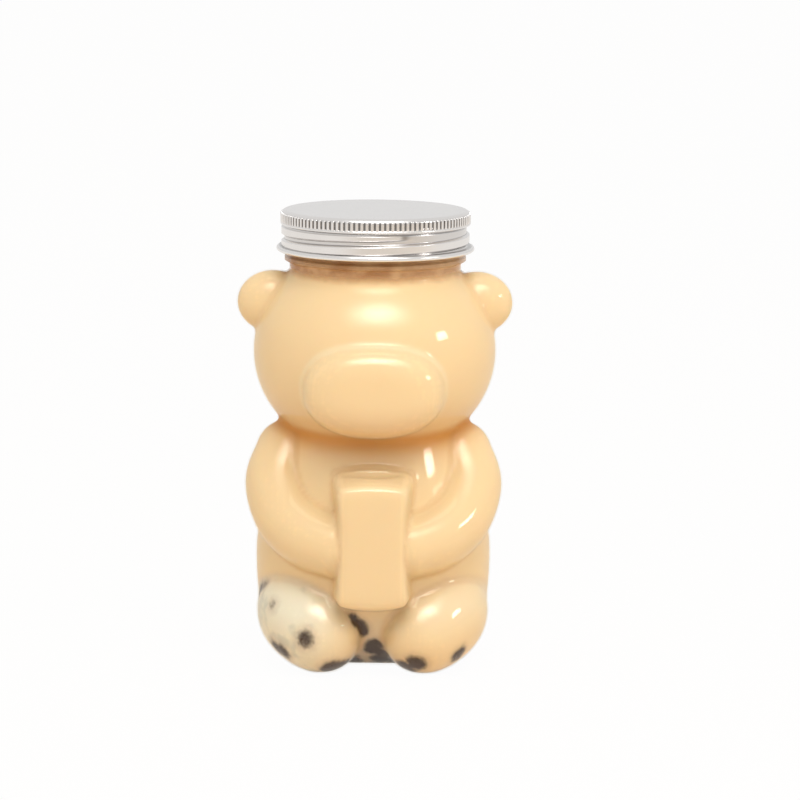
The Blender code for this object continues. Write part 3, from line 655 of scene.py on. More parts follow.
def creases(points):
    """Painted shade under the chin, lines of painted shade and highlight between lobes, and
    hollows.
    """
    lobe = lobe_distances(points)
    for limb in ("arms", "legs"):
        lobe[limb] = np.where(lobe[limb] > LIMB_FAR - 0.0001, 5 * LIMB_FAR, lobe[limb])
    body = np.minimum(lobe["torso"], np.minimum(lobe["arms"], lobe["legs"]))
    skull = np.minimum(lobe["head"], lobe["muzzle"])
    # Painted shade under the chin, fading over a few millimetres from where skull and body meet.
    under_chin = 0.95 * np.exp(-np.maximum(np.maximum(skull, body), 0) / 0.0056)
    low_face = smoothstep(HEAD_Z - 0.002, HEAD_Z - 0.026, points[:, 2]) * (skull < body)
    under_chin = np.maximum(under_chin, LOW_FACE_SHADE * low_face)
    line = np.zeros(len(points))
    # Thin lines of painted shade between lobes; the muzzle's outline, with a weight below nothing,
    # is a painted highlight instead.
    for one, other, lift, reach, weight in (
        (lobe["arms"], np.minimum(lobe["torso"], lobe["legs"]), LIMB_BLEND / 4, 0.0006, 0.24),
        (lobe["legs"], lobe["torso"], LIMB_BLEND / 4, 0.0008, 0.22),
        (lobe["block"], body, FACE_BLEND / 4, 0.0005, 0.22),
        (lobe["head"], lobe["ears"], FACE_BLEND / 4, 0.0007, 0.16),
        (lobe["head"], lobe["muzzle"], FACE_BLEND / 4, 0.0006, -0.40),
    ):
        line += weight * np.exp(-((np.maximum(one, other) - lift) / reach) ** 2)
    shoulder = np.maximum(np.maximum(lobe["arms"], lobe["torso"]), 0) / 0.0045
    nape = np.maximum(np.maximum(lobe["head"], lobe["neck"]), 0) / 0.0030
    return under_chin, line, np.exp(-shoulder) * (points[:, 2] > 0.055) + np.exp(-nape)


# %% The tea's surface
TEA_INSET = 0.00045
TEA_COLUMNS = 160
tea_bm, tea_rim = open_at_neck(*bear_surface(OUTER_GRAIN, TEA_INSET), INNER_CUT_Z)
column = BORE_RADIUS - SEAT
stations = [(bore_at(z) - 0.00015, z) for z in np.linspace(NECK_JOIN_Z - 0.0001, FILL_Z, 16)]
stations += [(column, FILL_Z + 0.0004), (column - 0.0004, FILL_Z + 0.0001)]
stations += [(column * share, FILL_Z) for share in (0.95, 0.7, 0.35)]
tea_rings = [ring(radius, z, TEA_COLUMNS) for radius, z in stations]
rows = add_rings(tea_bm, tea_rings)
close_with_point(tea_bm, rows[-1], (0, 0, FILL_Z))
stitch(tea_bm, tea_rim, rows[0])
tea = add_piece("tea_surface", tea_bm, "bottle", ["milk_tea"])

# %% What the surface knows about its places
points = own_points(tea)
under_chin, line, _ = creases(points)
film = film_over_pearls(points) * 1000
store(tea, "film", film)
# Painted shade under the chin and on the lower face, and lines of painted shade and highlight.
store(tea, "chin_shade", under_chin)
store(tea, "line", line)
store(tea, "foot", 1 - smoothstep(0.0, 0.0015, lobe_distances(points)["legs"]))
print("thinnest film over a pearl", round(film.min(), 2), "mm")

points = own_points(bottle)
under_chin, line, hollow = creases(points)
sheltered = under_chin * (under_chin > LOW_FACE_SHADE) + np.abs(line) + hollow
store(bottle, "hollow_shade", sheltered * (points[:, 2] < NECK_JOIN_Z))
print("sheltered points of the wall", int((sheltered > 0.5).sum()))

# %% [markdown]
# ## Tapioca pearls
#
# Cooked pearls are nearly round, a little flattened and slightly dented, so each is a sphere
# with slow waves on it, turned its own way by its number.

# %% One pearl for each packed one
PEARL_DETAIL = 4
for number, (name, place) in enumerate(zip(PEARLS, pearl_places)):
    bm = bmesh.new()
    bmesh.ops.create_icosphere(bm, subdivisions=PEARL_DETAIL, radius=1)
    for vert in bm.verts:
        x, y, z = vert.co
        wave = math.sin(3 * x + number) * math.sin(2.6 * y + 2 * number)
        wave *= math.cos(2.8 * z - number)
        vert.co *= PEARL_RADIUS * (0.985 - 0.02 * z * z + 0.012 * wave)
    bmesh.ops.translate(bm, vec=place, verts=bm.verts[:])
    add_piece(f"pearl_{number + 1:02d}", bm, "bottle", [name])

# %% [markdown]
# ## The cap
#
# The cap is pressed from one sheet of aluminium. Its outline, from the middle of the top over the
# rounded edge, down the band, in at the groove, over the thread's bead and round the rolled hem,
# comes back up the inside as one line. Turning that line round the axis gives the sheet. Only the
# bead isn't round: it is the neck's thread pressed through the sheet, so its swell depends on the
# angle too.

# %% The bead that runs on the neck's thread
SHEET = 0.0005
NECK_GAP, THREAD_GAP = 0.0005, 0.00045
CAP_WALL_RADIUS = NECK_RADIUS + NECK_GAP
WALL_OUT = CAP_WALL_RADIUS + SHEET
BEAD_RISE = THREAD_PROJECTION + THREAD_GAP - NECK_GAP
BEAD_CREST, BEAD_FOOT = 0.0011, 0.0020
BAND_RADIUS = WALL_OUT + 0.0014
HEM_RADIUS = WALL_OUT + 0.0027
CAP_HEIGHT = 0.0140
CAP_COLUMNS = 360
cap_angles = np.arange(CAP_COLUMNS) * TURN / CAP_COLUMNS
BEAD_LEAD = math.radians(45)


def bead_swell(depth):
    """How far the bead stands out, from 0 to 1, at every angle and one depth under the top."""
    z = cap_top_z - depth
    last = THREAD_TOP_ANGLE + BEAD_LEAD
    strength = np.zeros(CAP_COLUMNS)
    for turn in range(-4, 3):
        at = cap_angles + turn * TURN
        across = 1 - smoothstep(BEAD_CREST, BEAD_FOOT, np.abs(z - thread_height(at)))
        along = smoothstep(0, BEAD_LEAD * 0.7, last - at)
        strength = np.maximum(strength, across * along)
    return strength


print("the bead stands out", round(BEAD_RISE * 1000, 2), "mm")


# %% The sheet's outline: radius, depth under the top, and how much of the bead it carries
def arc(centre_radius, centre_depth, radius, start, end, steps):
    """Points on an arc, with 0 degrees outwards and 90 degrees down."""
    turns = np.radians(np.linspace(start, end, steps))
    return [
        (centre_radius + radius * math.cos(t), centre_depth + radius * math.sin(t), 0.0)
        for t in turns
    ]


CORNER = 0.0021
KNURL_ROOT = BAND_RADIUS - 0.00036
GROOVE_DEPTH, WALL_TOP, WALL_BOTTOM, HEM_LINE_DEPTH = 0.00525, 0.0058, 0.0120, 0.0124
outline = [(0.010, 0.0, 0), (0.020, 0.0, 0), (0.0285, 0.0, 0)]
outline += arc(BAND_RADIUS - CORNER, CORNER, CORNER, -90, -40, 8)
outline += [(KNURL_ROOT, 0.0014, 0), (KNURL_ROOT, 0.0026, 0), (KNURL_ROOT, 0.0038, 0)]
outline += arc(BAND_RADIUS - 0.0005, 0.0044, 0.0005, -50, 60, 7)
outline += arc(WALL_OUT + 0.0002, GROOVE_DEPTH, 0.0004, 230, 140, 5)
outline += [(WALL_OUT, depth, 1) for depth in np.linspace(WALL_TOP, WALL_BOTTOM, 78)]
hem_centre, hem_depth, hem_roll = HEM_RADIUS - 0.0009, CAP_HEIGHT - 0.0009, 0.0009
outline += [(WALL_OUT + 0.0001, 0.0122, 0.9), (WALL_OUT + 0.0004, HEM_LINE_DEPTH, 0.6)]
outline += [(hem_centre - 0.0004, 0.01245, 0.1)]
outline += arc(hem_centre, hem_depth, hem_roll, -70, 180, 16)
outline += [(CAP_WALL_RADIUS + BEAD_RISE + 0.0001, 0.0127, 0)]
outline += [(CAP_WALL_RADIUS, depth, 1) for depth in np.linspace(WALL_BOTTOM, WALL_TOP, 24)]
outline += [(CAP_WALL_RADIUS - 0.0002, 0.0050, 0), (KNURL_ROOT - SHEET, 0.0042, 0)]
outline += [(KNURL_ROOT - SHEET, 0.0023, 0), (KNURL_ROOT - 0.0019, 0.0006, 0)]
outline += [(0.0285, SHEET, 0), (0.015, SHEET, 0)]


def hollow_shade(radius, depth, share):
    """How much painted shade the sheet gets at every angle: in the knurl, the groove, beside the
    bead and at the hem line.
    """
    if radius < KNURL_ROOT - 0.0001 and share == 0 and depth < 0.0040:
        return np.zeros(CAP_COLUMNS)
    valley = smoothstep(0.0010, 0.0014, depth) * (1 - smoothstep(0.0038, 0.0040, depth))
    groove = 0.75 * math.exp(-((depth - GROOVE_DEPTH) / 0.00030) ** 2)
    swell = bead_swell(depth)
    foot_line = np.exp(-(((swell - 0.10) / 0.09) ** 2))
    beside = share * np.maximum(0.75 * foot_line, 0.22 * (1 - swell) ** 4)
    hem_line = 0.70 * math.exp(-((depth - HEM_LINE_DEPTH) / 0.00016) ** 2) if share > 0 else 0
    return np.maximum(max(valley, groove, hem_line), beside)


bm = bmesh.new()
cap_rings = [
    ring(radius + share * BEAD_RISE * bead_swell(depth), cap_top_z - depth, CAP_COLUMNS)
    for radius, depth, share in outline
]
rows = add_rings(bm, cap_rings)
close_with_point(bm, rows[0][::-1], (0, 0, cap_top_z))
close_with_point(bm, rows[-1], (0, 0, cap_top_z - SHEET))
cap = add_piece("cap_sheet", bm, "cap", ["cap_shell"])
# Painted shade on the cap's sheet, stored for its shader.
store(cap, "hollow_shade", np.concatenate([hollow_shade(*station) for station in outline] + [np.zeros(2)]))

# %% [markdown]
# ## The knurled band
#
# The band is knurled so that fingers can grip it: narrow upright ribs, all alike and evenly
# spaced. That is a repeat on a circle, so Geometry Nodes make it. A rib is a rounded box, half
# sunk in the band, and the sheet between two ribs gets painted shade and so looks darker.


# %% The tree that repeats a rib round a circle
def add_input(tree, name, kind, value):
    socket = tree.interface.new_socket(name, in_out="INPUT", socket_type=kind)
    if value is not None:
        socket.default_value = value
    return socket.identifier


ribs = bpy.data.node_groups.new("ribs_round_a_band", "GeometryNodeTree")
ribs.interface.new_socket("Geometry", in_out="INPUT", socket_type="NodeSocketGeometry")
ribs.interface.new_socket("Geometry", in_out="OUTPUT", socket_type="NodeSocketGeometry")
RIB_INPUTS = {
    "Count": add_input(ribs, "Count", "NodeSocketInt", 100),
    "Radius": add_input(ribs, "Radius", "NodeSocketFloat", 0.032),
    "Rib size": add_input(ribs, "Rib size", "NodeSocketVector", (0.0005, 0.0005, 0.0017)),
    "Height": add_input(ribs, "Height", "NodeSocketFloat", 0.15),
    "Material": add_input(ribs, "Material", "NodeSocketMaterial", None),
}
print("inputs", *RIB_INPUTS)

# %% The nodes of that tree
CIRCLE_DETAIL = 472
put = ribs.nodes.new
given, made = put("NodeGroupInput"), put("NodeGroupOutput")
circle, spots = put("GeometryNodeCurvePrimitiveCircle"), put("GeometryNodeCurveToPoints")
rib, rounded = put("GeometryNodeMeshCube"), put("GeometryNodeSubdivisionSurface")
shape, lift = put("GeometryNodeTransform"), put("GeometryNodeTransform")
place, where = put("GeometryNodeInstanceOnPoints"), put("GeometryNodeInputPosition")
face_out, offset = put("FunctionNodeAlignEulerToVector"), put("ShaderNodeCombineXYZ")
real, smooth = put("GeometryNodeRealizeInstances"), put("GeometryNodeSetShadeSmooth")
painted = put("GeometryNodeSetMaterial")
spots.mode = "COUNT"
face_out.axis = "X"
circle.inputs["Resolution"].default_value = CIRCLE_DETAIL
rib.inputs["Size"].default_value = (2, 2, 2)
rounded.inputs["Level"].default_value = 3
rounded.inputs["Edge Crease"].default_value = 0.45
for one, out, other, into in (
    (given, "Radius", circle, "Radius"),
    (circle, "Curve", spots, "Curve"),
    (given, "Count", spots, "Count"),
    (rib, "Mesh", rounded, "Mesh"),
    (rounded, "Mesh", shape, "Geometry"),
    (given, "Rib size", shape, "Scale"),
    (where, 0, face_out, "Vector"),
    (spots, "Points", place, "Points"),
    (shape, "Geometry", place, "Instance"),
    (face_out, 0, place, "Rotation"),
    (given, "Height", offset, "Z"),
    (place, "Instances", lift, "Geometry"),
    (offset, 0, lift, "Translation"),
    (lift, "Geometry", real, "Geometry"),
    (real, "Geometry", smooth, "Geometry"),
    (smooth, "Geometry", painted, "Geometry"),
    (given, "Material", painted, "Material"),
    (painted, "Geometry", made, "Geometry"),
):
    ribs.links.new(one.outputs[out], other.inputs[into])
print("ribs' tree has", len(ribs.nodes), "nodes")

# %% Ribs on the cap's band
KNURL_RIBS = 118
RIB_SIZE = (0.00040, 0.00050, 0.00160)
aluminium = bpy.data.materials.new("aluminium_satin")
band = new_object("knurl_maker", bmesh.new())
maker = band.modifiers.new("Ribs", "NODES")
maker.node_group = ribs
for name, value in (
    ("Count", KNURL_RIBS),
    ("Radius", KNURL_ROOT - 0.00004),
    ("Rib size", RIB_SIZE),
    ("Height", cap_top_z - 0.0025),
    ("Material", aluminium),
):
    maker[RIB_INPUTS[name]] = value
bm = bmesh.new()
bm.from_mesh(made_by_modifier(band))
knurl = add_piece("cap_knurl", bm, "cap")

# %% [markdown]
# ## The liner
#
# Under the cap's top lies a disc of white foam that the rim presses into. It is seen only when the
# cap is off and from below, so it needs a soft edge, the rim's shallow mark and little else.

# %% A foam disc with a pressed ring
liner_radius = (liner_high[0] - liner_low[0]) / 2
bottom, top = liner_low[2], liner_high[2]
edge, rim_mark, middle = 0.0003, 0.00018, 0.012
profile = [(middle, top), (liner_radius - edge, top)]
profile += [
    (liner_radius - edge + edge * math.cos(t), top - edge + edge * math.sin(t))
    for t in np.radians(np.linspace(75, 0, 5))
]
profile += [
    (liner_radius - edge + edge * math.cos(t), bottom + edge - edge * math.sin(t))
    for t in np.radians(np.linspace(0, 90, 6))
]
profile += [(NECK_RADIUS + 0.0001, bottom), (NECK_RADIUS - 0.0003, bottom + rim_mark)]
profile += [(BORE_RADIUS + 0.0003, bottom + rim_mark), (BORE_RADIUS - 0.0001, bottom)]
profile += [(middle, bottom)]
bm = bmesh.new()
LINER_COLUMNS = 180
rows = add_rings(bm, [ring(radius, z, LINER_COLUMNS) for radius, z in profile])
close_with_point(bm, rows[0][::-1], (0, 0, top))
close_with_point(bm, rows[-1], (0, 0, bottom))
liner = add_piece("liner_disc", bm, "liner", ["cap_liner"])

# %% [markdown]
# ## Writing shaders as sums
#
# A finish is easier to read as arithmetic than as a web of nodes. The small class below wraps
# one socket; adding or multiplying two of them adds the Math node that does it.


# %% A socket that can be added and multiplied
class Shade:
    """A shader socket, with the operators that add Math nodes to it."""

    def __init__(self, tree, socket):
        self.tree, self.socket = tree, socket

    def node(self, kind, settings=None, **inputs):
        """Add a node: its settings are set first, then its sockets by name."""
        node = self.tree.nodes.new(kind)
        for name, value in (settings or {}).items():
            setattr(node, name, value)
        for name, value in inputs.items():
            key = int(name[1:]) if name[0] == "i" and name[1:].isdigit() else name.replace("_", " ")
            if isinstance(value, Shade):
                self.tree.links.new(value.socket, node.inputs[key])
            else:
                node.inputs[key].default_value = value
        return node

    def maths(self, operation, other=0.0):
        node = self.node("ShaderNodeMath", {"operation": operation}, i0=self, i1=other)
        return Shade(self.tree, node.outputs[0])

    def __add__(self, other):
        return self.maths("ADD", other)

    def __sub__(self, other):
        return self.maths("SUBTRACT", other)

    def __rsub__(self, other):
        return (self * -1) + other

    def __mul__(self, other):
        return self.maths("MULTIPLY", other)

    def __pow__(self, other):
        return self.maths("POWER", other)

    __radd__, __rmul__ = __add__, __mul__

    def ramp(self, low, high):
        """0 below low and 1 above high, with a smooth step between."""
        node = self.node(
            "ShaderNodeMapRange", {"interpolation_type": "SMOOTHSTEP"}, Value=self, From_Min=low,
            From_Max=high
        )
        return Shade(self.tree, node.outputs[0])

    def blend(self, one, other):
        """Mix two colours by this value."""
        node = self.node("ShaderNodeMix", {"data_type": "RGBA"}, i0=self, i6=one, i7=other)
        return Shade(self.tree, node.outputs[2])


# %% Nodes that most finishes need
def start(material):
    """An empty material tree with its main shader. Returns a Shade to build on and the shader."""
    material.use_nodes = True
    tree = material.node_tree
    shader = tree.nodes["Principled BSDF"]
    place = Shade(tree, tree.nodes.new("ShaderNodeTexCoord").outputs["Object"])
    return place, shader


def feed(shade, shader, name):
    """Link a value to a socket of the main shader."""
    shade.tree.links.new(shade.socket, shader.inputs[name])


def settle(shader, **values):
    """Set sockets of the main shader to what is the same all over the surface."""
    for name, value in values.items():
        shader.inputs[name.replace("_", " ")].default_value = value


def noise(place, scale, detail=2.0, roughness=0.5):
    node = place.node(
        "ShaderNodeTexNoise", Vector=place, Scale=scale, Detail=detail, Roughness=roughness
    )
    return Shade(place.tree, node.outputs[0])


def stored(place, name):
    """A number that the piece stores at its points."""
    return Shade(place.tree, place.node("ShaderNodeAttribute", {"attribute_name": name}).outputs[2])


# %% Layers, bumps and finished pieces
def layered(share, under, over):
    """One shader laid over another by a share."""
    tree = share.tree
    return share.node(
        "ShaderNodeMixShader", i0=share, i1=Shade(tree, under.outputs[0]),
        i2=Shade(tree, over.outputs[0])
    )


def axes(place):
    """The three coordinates, each a Shade."""
    split = place.node("ShaderNodeSeparateXYZ", Vector=place)
    return [Shade(place.tree, output) for output in split.outputs]


def bump(height, strength, distance):
    node = height.node("ShaderNodeBump", Height=height, Strength=strength, Distance=distance)
    return Shade(height.tree, node.outputs[0])


def dress(material, *pieces):
    """Give a finish to pieces."""
    for piece in pieces:
        piece.data.materials.clear()
        piece.data.materials.append(material)
    print(material.name, "with", len(material.node_tree.nodes), "nodes on", len(pieces), "pieces")


# %% [markdown]
# ## Milk tea's colour
#
# The colour is warm cream where the tea is deep and lit. Painted shade makes it browner under the
# chin, on the lower face and in the thin lines between the lobes, and a pale painted highlight
# follows the muzzle's outline. It is paler on the feet where milk has settled, and nearly black
# over the pearls. A thicker film hides a pearl bit by bit, so the dark fades out over about a
# millimetre of tea. Noise is added to the film, because cooked pearls and settled milk are never
# regular.

# %% Milk tea
CREAM = (0.985, 0.722, 0.405, 1)
# The next three colours are painted shade under the chin, painted shade along the lines between
# lobes, and a painted highlight on the muzzle's outline.
CHIN_SHADE_BROWN = (0.720, 0.335, 0.095, 1)
LINE_SHADE_BROWN = (0.560, 0.270, 0.090, 1)
LINE_HIGHLIGHT_PALE = (1.000, 0.850, 0.600, 1)
FOOT_CREAM = (0.940, 0.880, 0.700, 1)
FOOT_GREY = (0.560, 0.550, 0.440, 1)
LOW_GREY = (0.900, 0.780, 0.600, 1)
HALO_BROWN = (0.360, 0.220, 0.120, 1)
PEARL_DARK = (0.042, 0.014, 0.004, 1)

tea_finish = bpy.data.materials.new("milk_tea_cloudy")
place, shader = start(tea_finish)
x, y, z = axes(place)
cloud = noise(place, 38.0, 3.0)
# Painted shade: browner under the chin and on the lower face.
chin_shade = (stored(place, "chin_shade") * 1.15 + (cloud - 0.5) * 0.10).ramp(0.10, 1.05)
line = stored(place, "line")
settled = (1 - (z + (cloud - 0.5) * 0.012).ramp(0.022, 0.040)) * stored(place, "foot")
milky_left = 1 - (x + (cloud - 0.5) * 0.012).ramp(-0.026, -0.004)
between = (1 - z.ramp(0.006, 0.026)) * (1 - stored(place, "foot")) * (1 - y.ramp(-0.020, 0.0))
colour = chin_shade.blend(CREAM, CHIN_SHADE_BROWN)
colour = (settled * (milky_left * 0.70 + z.ramp(0.010, 0.028) * 0.30)).blend(colour, FOOT_CREAM)
smudge = noise(place, 120.0, 2.0).ramp(0.56, 0.70) * settled * milky_left
colour = (smudge * 0.45).blend(colour, FOOT_GREY)
colour = (between * 0.8).blend(colour, LOW_GREY)
# Painted shade along the lines between lobes, and a painted highlight along the muzzle's outline.
colour = line.maths("MAXIMUM", 0.0).blend(colour, LINE_SHADE_BROWN)
colour = (line * -1).maths("MAXIMUM", 0.0).blend(colour, LINE_HIGHLIGHT_PALE)
film = stored(place, "film") + (noise(place, 330.0, 2.0) - 0.5) * 1.2
film = film + (noise(place, 1100.0, 2.0) - 0.5) * 0.5
spot = 1 - film.ramp(0.05, 1.20)
halo = (1 - film.ramp(0.2, 2.6)) * 0.36
colour = halo.blend(colour, HALO_BROWN)
colour = (spot * 0.96).blend(colour, PEARL_DARK)
feed(colour, shader, "Base Color")
settle(shader, Roughness=0.45, Specular_IOR_Level=0.10)
settle(shader, Subsurface_Weight=0.15, Subsurface_Radius=(1.0, 0.45, 0.20))
settle(shader, Subsurface_Scale=0.0012)
dress(tea_finish, tea)

# %% [markdown]
# ## Clear plastic
#
# A thin clear wall hardly bends what is behind it, so it is a Transparent shader with a little
# gloss on top, more at a glancing angle and less in hollows that see little light. That renders
# fast and stays clean. A faint raised line where the two halves of the mould met runs down both
# sides, and slow waves in the wall make the reflections wander. Inside the neck, painted shade
# lays brown over the tea, for the cap's shadow and the thick wall, with painted light making it
# lighter on the right: it is a second shader, laid on by height, with streaks.

# %% Clear plastic
clear = bpy.data.materials.new("clear_plastic_gloss")
clear.use_nodes = True
tree = clear.node_tree
tree.nodes.clear()
place = Shade(tree, tree.nodes.new("ShaderNodeTexCoord").outputs["Object"])
x, y, z = axes(place)
seam = 1 - (y - screw_axis.y).maths("ABSOLUTE").ramp(0.00008, 0.00030)
waves = noise(place, 55.0, 1.5) * 0.5
surface = bump(seam * 0.12 + waves, 0.22, 0.0008)
weight = place.node("ShaderNodeLayerWeight", Blend=0.5, Normal=surface)
facing = Shade(tree, weight.outputs["Facing"])
open_to_light = 1 - stored(place, "hollow_shade").maths("MINIMUM", 1.0) * 0.85
gloss_share = ((facing**5.0) * 0.32 + 0.026) * open_to_light
glass = place.node("ShaderNodeBsdfTransparent", Color=(0.985, 0.985, 0.98, 1))
GLOSS_WARM = (1.0, 0.95, 0.87, 1)
gloss = place.node("ShaderNodeBsdfGlossy", Color=GLOSS_WARM, Roughness=0.07, Normal=surface)
wall = layered(gloss_share, glass, gloss)
print("seam at y", round(screw_axis.y, 4))

# %% Painted shade over the tea inside the neck
# Painted shade: the neck's browns stand in for the cap's shadow over the tea behind the thick wall.
NECK_SHADE_BROWN, NECK_TAN = (0.560, 0.270, 0.098, 1), (0.800, 0.500, 0.250, 1)
NECK_LIT = (0.860, 0.600, 0.340, 1)
streaks = noise(place, 150.0, 3.0)
from_axis = (x**2.0 + (y - screw_axis.y) ** 2.0) ** 0.5
edge = z + (streaks - 0.5) * 0.0024
filled = edge.ramp(NECK_JOIN_Z - 0.0024, NECK_JOIN_Z + 0.0040)
filled = filled * (1 - from_axis.ramp(0.0312, 0.0325)) * (1 - z.ramp(FILL_Z, FILL_Z + 0.0008))
filled = filled * (1 - z.ramp(RING_BOTTOM_Z - 0.0003, RING_BOTTOM_Z + 0.0002) * 0.35)
shaded_neck_tone = streaks.ramp(0.35, 0.70).blend(NECK_SHADE_BROWN, NECK_TAN)
# Painted light: lighter towards the right side of the neck.
shaded_neck_tone = (x.ramp(-0.010, 0.030) * 0.45).blend(shaded_neck_tone, NECK_LIT)
shaded_neck_tea = place.node("ShaderNodeBsdfPrincipled", Roughness=0.35, Base_Color=shaded_neck_tone)
whole = layered(filled * 0.88, wall, shaded_neck_tea)
place.node("ShaderNodeOutputMaterial", Surface=Shade(tree, whole.outputs[0]))
dress(clear, bottle)

# %% [markdown]
# ## Aluminium, foam and tapioca
#
# The cap is satin aluminium: the metal is even, with fine marks from drawing and a slightly
# cloudy oxide, so roughness varies a little. Painted shade darkens the knurl's valleys, the
# groove, the thin lines beside the bead and the hem line, where the metal mirrors itself.

# %% Aluminium
place, shader = start(aluminium)
x, y, z = axes(place)
cloud = noise(place, 90.0, 3.0)
fine = noise(place, 2600.0, 2.0)
tone = (cloud * 0.7 + fine * 0.3).blend((0.785, 0.760, 0.740, 1), (0.875, 0.850, 0.830, 1))
# Painted shade: the stored shade darkens the metal's colour in the valleys, the groove and the
# lines.
dark = stored(place, "hollow_shade")
feed((dark * 0.82).blend(tone, (0.10, 0.085, 0.075, 1)), shader, "Base Color")
feed(cloud * 0.06 + fine * 0.05 + 0.13, shader, "Roughness")
feed(bump(fine, 0.10, 0.0002), shader, "Normal")
settle(shader, Metallic=1.0)
dress(aluminium, cap, knurl)

# %% Foam
foam = bpy.data.materials.new("foam_white")
place, shader = start(foam)
cells = noise(place, 1500.0, 2.0)
feed(cells.blend((0.80, 0.80, 0.78, 1), (0.93, 0.93, 0.91, 1)), shader, "Base Color")
feed(bump(cells, 0.35, 0.0002), shader, "Normal")
settle(shader, Roughness=0.85)
dress(foam, liner)

# %% Tapioca
tapioca = bpy.data.materials.new("tapioca_dark")
place, shader = start(tapioca)
cloud = noise(place, 260.0, 2.0)
feed(cloud.blend((0.018, 0.009, 0.006, 1), (0.075, 0.034, 0.020, 1)), shader, "Base Color")
feed(bump(cloud, 0.2, 0.0004), shader, "Normal")
settle(shader, Roughness=0.18, Coat_Weight=0.6)
dress(tapioca, *(piece for piece in bpy.data.objects if piece.name.startswith("pearl_")))

# %% [markdown]
# ## Camera, floor and light
#
# The camera looks down a little from the front. Soft lamps light the object, and reflections
# don't see them. Instead, reflections see glowing cards: a broad one in front and above gives the
# wide soft highlights, and a small one on the right gives the bright window-shaped ones. So the
# light on the tea and the highlights on the wall can be set apart. The floor is white to the
# camera, warm to the light that it throws back, and darker ahead of the object for reflections,
# which gives the metal its contrast.


# %% Camera
CAMERA_PLACE = (0.0088, -1.2 + screw_axis.y, 0.2898)
CAMERA_DOWN, CAMERA_LEAN = math.radians(9.45), 0.0087
FOCAL_PIXELS, FRAME_PIXELS, SENSOR = 3556.2, 800, 36


def aim(thing, target):
    """Turn a lamp or a card to face a point."""
    thing.rotation_euler = (Vector(target) - thing.location).to_track_quat("-Z", "Y").to_euler()


camera = bpy.data.objects.new("camera", bpy.data.cameras.new("camera"))
bpy.context.collection.objects.link(camera)
camera.data.sensor_width = SENSOR
camera.data.lens = FOCAL_PIXELS / FRAME_PIXELS * SENSOR
camera.data.clip_end = 20
camera.matrix_world = (
    Matrix.Translation(CAMERA_PLACE)
    @ Matrix.Rotation(math.pi / 2 - CAMERA_DOWN, 4, "X")
    @ Matrix.Rotation(CAMERA_LEAN, 4, "Z")
)
bpy.context.scene.camera = camera
print("lens", round(camera.data.lens, 1), "mm")

# %% Floor and background
def add_flat(name, finish, size, x_scale=1.0, y_scale=1.0):
    """A flat piece of one finish for the stage."""
    bm = bmesh.new()
    bmesh.ops.create_grid(bm, x_segments=1, y_segments=1, size=size)
    bmesh.ops.scale(bm, vec=(x_scale, y_scale, 1), verts=bm.verts)
    flat = new_object(name, bm)
    flat.data.materials.append(finish)
    return flat


WHITE_TO_CAMERA, MIRRORED_GLOW, DARKER_AHEAD = 0.97, 0.78, 0.42
paper = bpy.data.materials.new("paper_white")
floor = add_flat("floor", paper, 10)
place, shader = start(paper)
tree = place.tree
settle(shader, Base_Color=(0.88, 0.74, 0.58, 1), Roughness=0.9, Specular_IOR_Level=0.0)
light_path = place.node("ShaderNodeLightPath")
x, y, z = axes(place)
reach = (x**2.0 + y**2.0) ** 0.5
ahead = (x * 0.34 - y * 0.94).maths("DIVIDE", reach).ramp(0.30, 1.0) * reach.ramp(0.30, 0.60)
seen = Shade(tree, light_path.outputs["Is Camera Ray"]) * WHITE_TO_CAMERA
mirrored = ahead * -DARKER_AHEAD + MIRRORED_GLOW
mirrored = Shade(tree, light_path.outputs["Is Glossy Ray"]) * mirrored
glow = place.node("ShaderNodeEmission", Color=(1, 1, 1, 1), Strength=1.0)
mixed = layered(seen.maths("MAXIMUM", mirrored), shader, glow)
tree.links.new(mixed.outputs[0], tree.nodes["Material Output"].inputs["Surface"])
print(floor.name, "is", round(floor.dimensions.x), "m wide")

# %% World
AMBIENT = 0.58
REFLECTED = 0.79
world = bpy.data.worlds.new("studio")
bpy.context.scene.world = world
world.use_nodes = True
tree = world.node_tree
rays = tree.nodes.new("ShaderNodeLightPath")
seen = Shade(tree, rays.outputs["Is Camera Ray"])
seen = seen.maths("MAXIMUM", Shade(tree, rays.outputs["Is Transmission Ray"]))
strength = seen * (1 - AMBIENT) + AMBIENT
strength = strength + Shade(tree, rays.outputs["Is Glossy Ray"]) * (REFLECTED - AMBIENT)
tree.links.new(strength.socket, tree.nodes["Background"].inputs["Strength"])
tree.nodes["Background"].inputs["Color"].default_value = (1, 1, 1, 1)
print("world light", AMBIENT, "and in reflections", REFLECTED)


# %% Lamps
MIDDLE = (0, 0, 0.08)


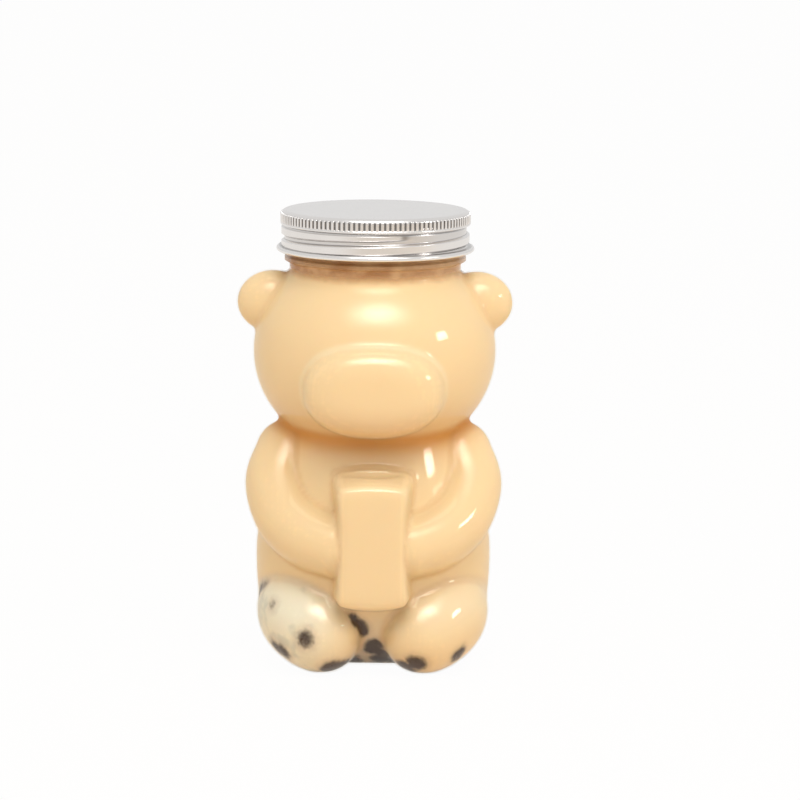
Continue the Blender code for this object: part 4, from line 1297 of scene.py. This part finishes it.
def add_lamp(name, place, size, power):
    """A soft lamp that lights the object and stays out of its reflections."""
    lamp = bpy.data.lights.new(name, "AREA")
    lamp.shape = "RECTANGLE"
    lamp.size, lamp.size_y = size
    lamp.energy = power
    thing = bpy.data.objects.new(name, lamp)
    bpy.context.collection.objects.link(thing)
    thing.location = place
    thing.visible_glossy = False
    aim(thing, MIDDLE)
    print(name, power, "W")


add_lamp("soft_key", (0.14, -0.70, 1.05), (0.85, 0.50), 6.8)
add_lamp("side_right", (1.00, -0.38, 0.42), (0.50, 0.40), 2.0)
add_lamp("fill_left", (-1.0, -0.5, 0.7), (0.5, 0.5), 1.6)


# %% Cards
def add_card(name, place, size, strength, soft):
    """A card that only reflections see. It glows in the middle and fades over its soft edge."""
    finish = bpy.data.materials.new(name)
    card = add_flat(name, finish, 0.5, *size)
    card.location = place
    aim(card, MIDDLE)
    for unseen in ("camera", "diffuse", "transmission", "shadow"):
        setattr(card, "visible_" + unseen, False)
    finish.use_nodes = True
    tree = finish.node_tree
    tree.nodes.clear()
    place = Shade(tree, tree.nodes.new("ShaderNodeTexCoord").outputs["Object"])
    x, y, _ = axes(place)
    middle = (1 - x.maths("ABSOLUTE") * (2 / size[0])).ramp(0, soft)
    middle = middle * (1 - y.maths("ABSOLUTE") * (2 / size[1])).ramp(0, soft)
    lit = middle.blend((0, 0, 0, 1), (1, 1, 1, 1))
    light = place.node("ShaderNodeEmission", Color=lit, Strength=strength)
    both = layered(middle, place.node("ShaderNodeBsdfTransparent"), light)
    place.node("ShaderNodeOutputMaterial", Surface=Shade(tree, both.outputs[0]))
    print(name, "glows at", strength)


add_card("key_card", (0.06, -0.76, 1.02), (2.0, 1.15), 10.0, 1.0)
add_card("window_card", (0.98, -0.42, 0.46), (0.24, 0.16), 14.0, 0.15)
add_card("top_card", (0.0, -0.12, 1.25), (1.1, 0.50), 2.0, 0.6)

# %% [markdown]
# ## The view transform

# %% View transform
view = bpy.context.scene.view_settings
view.view_transform = "Standard"
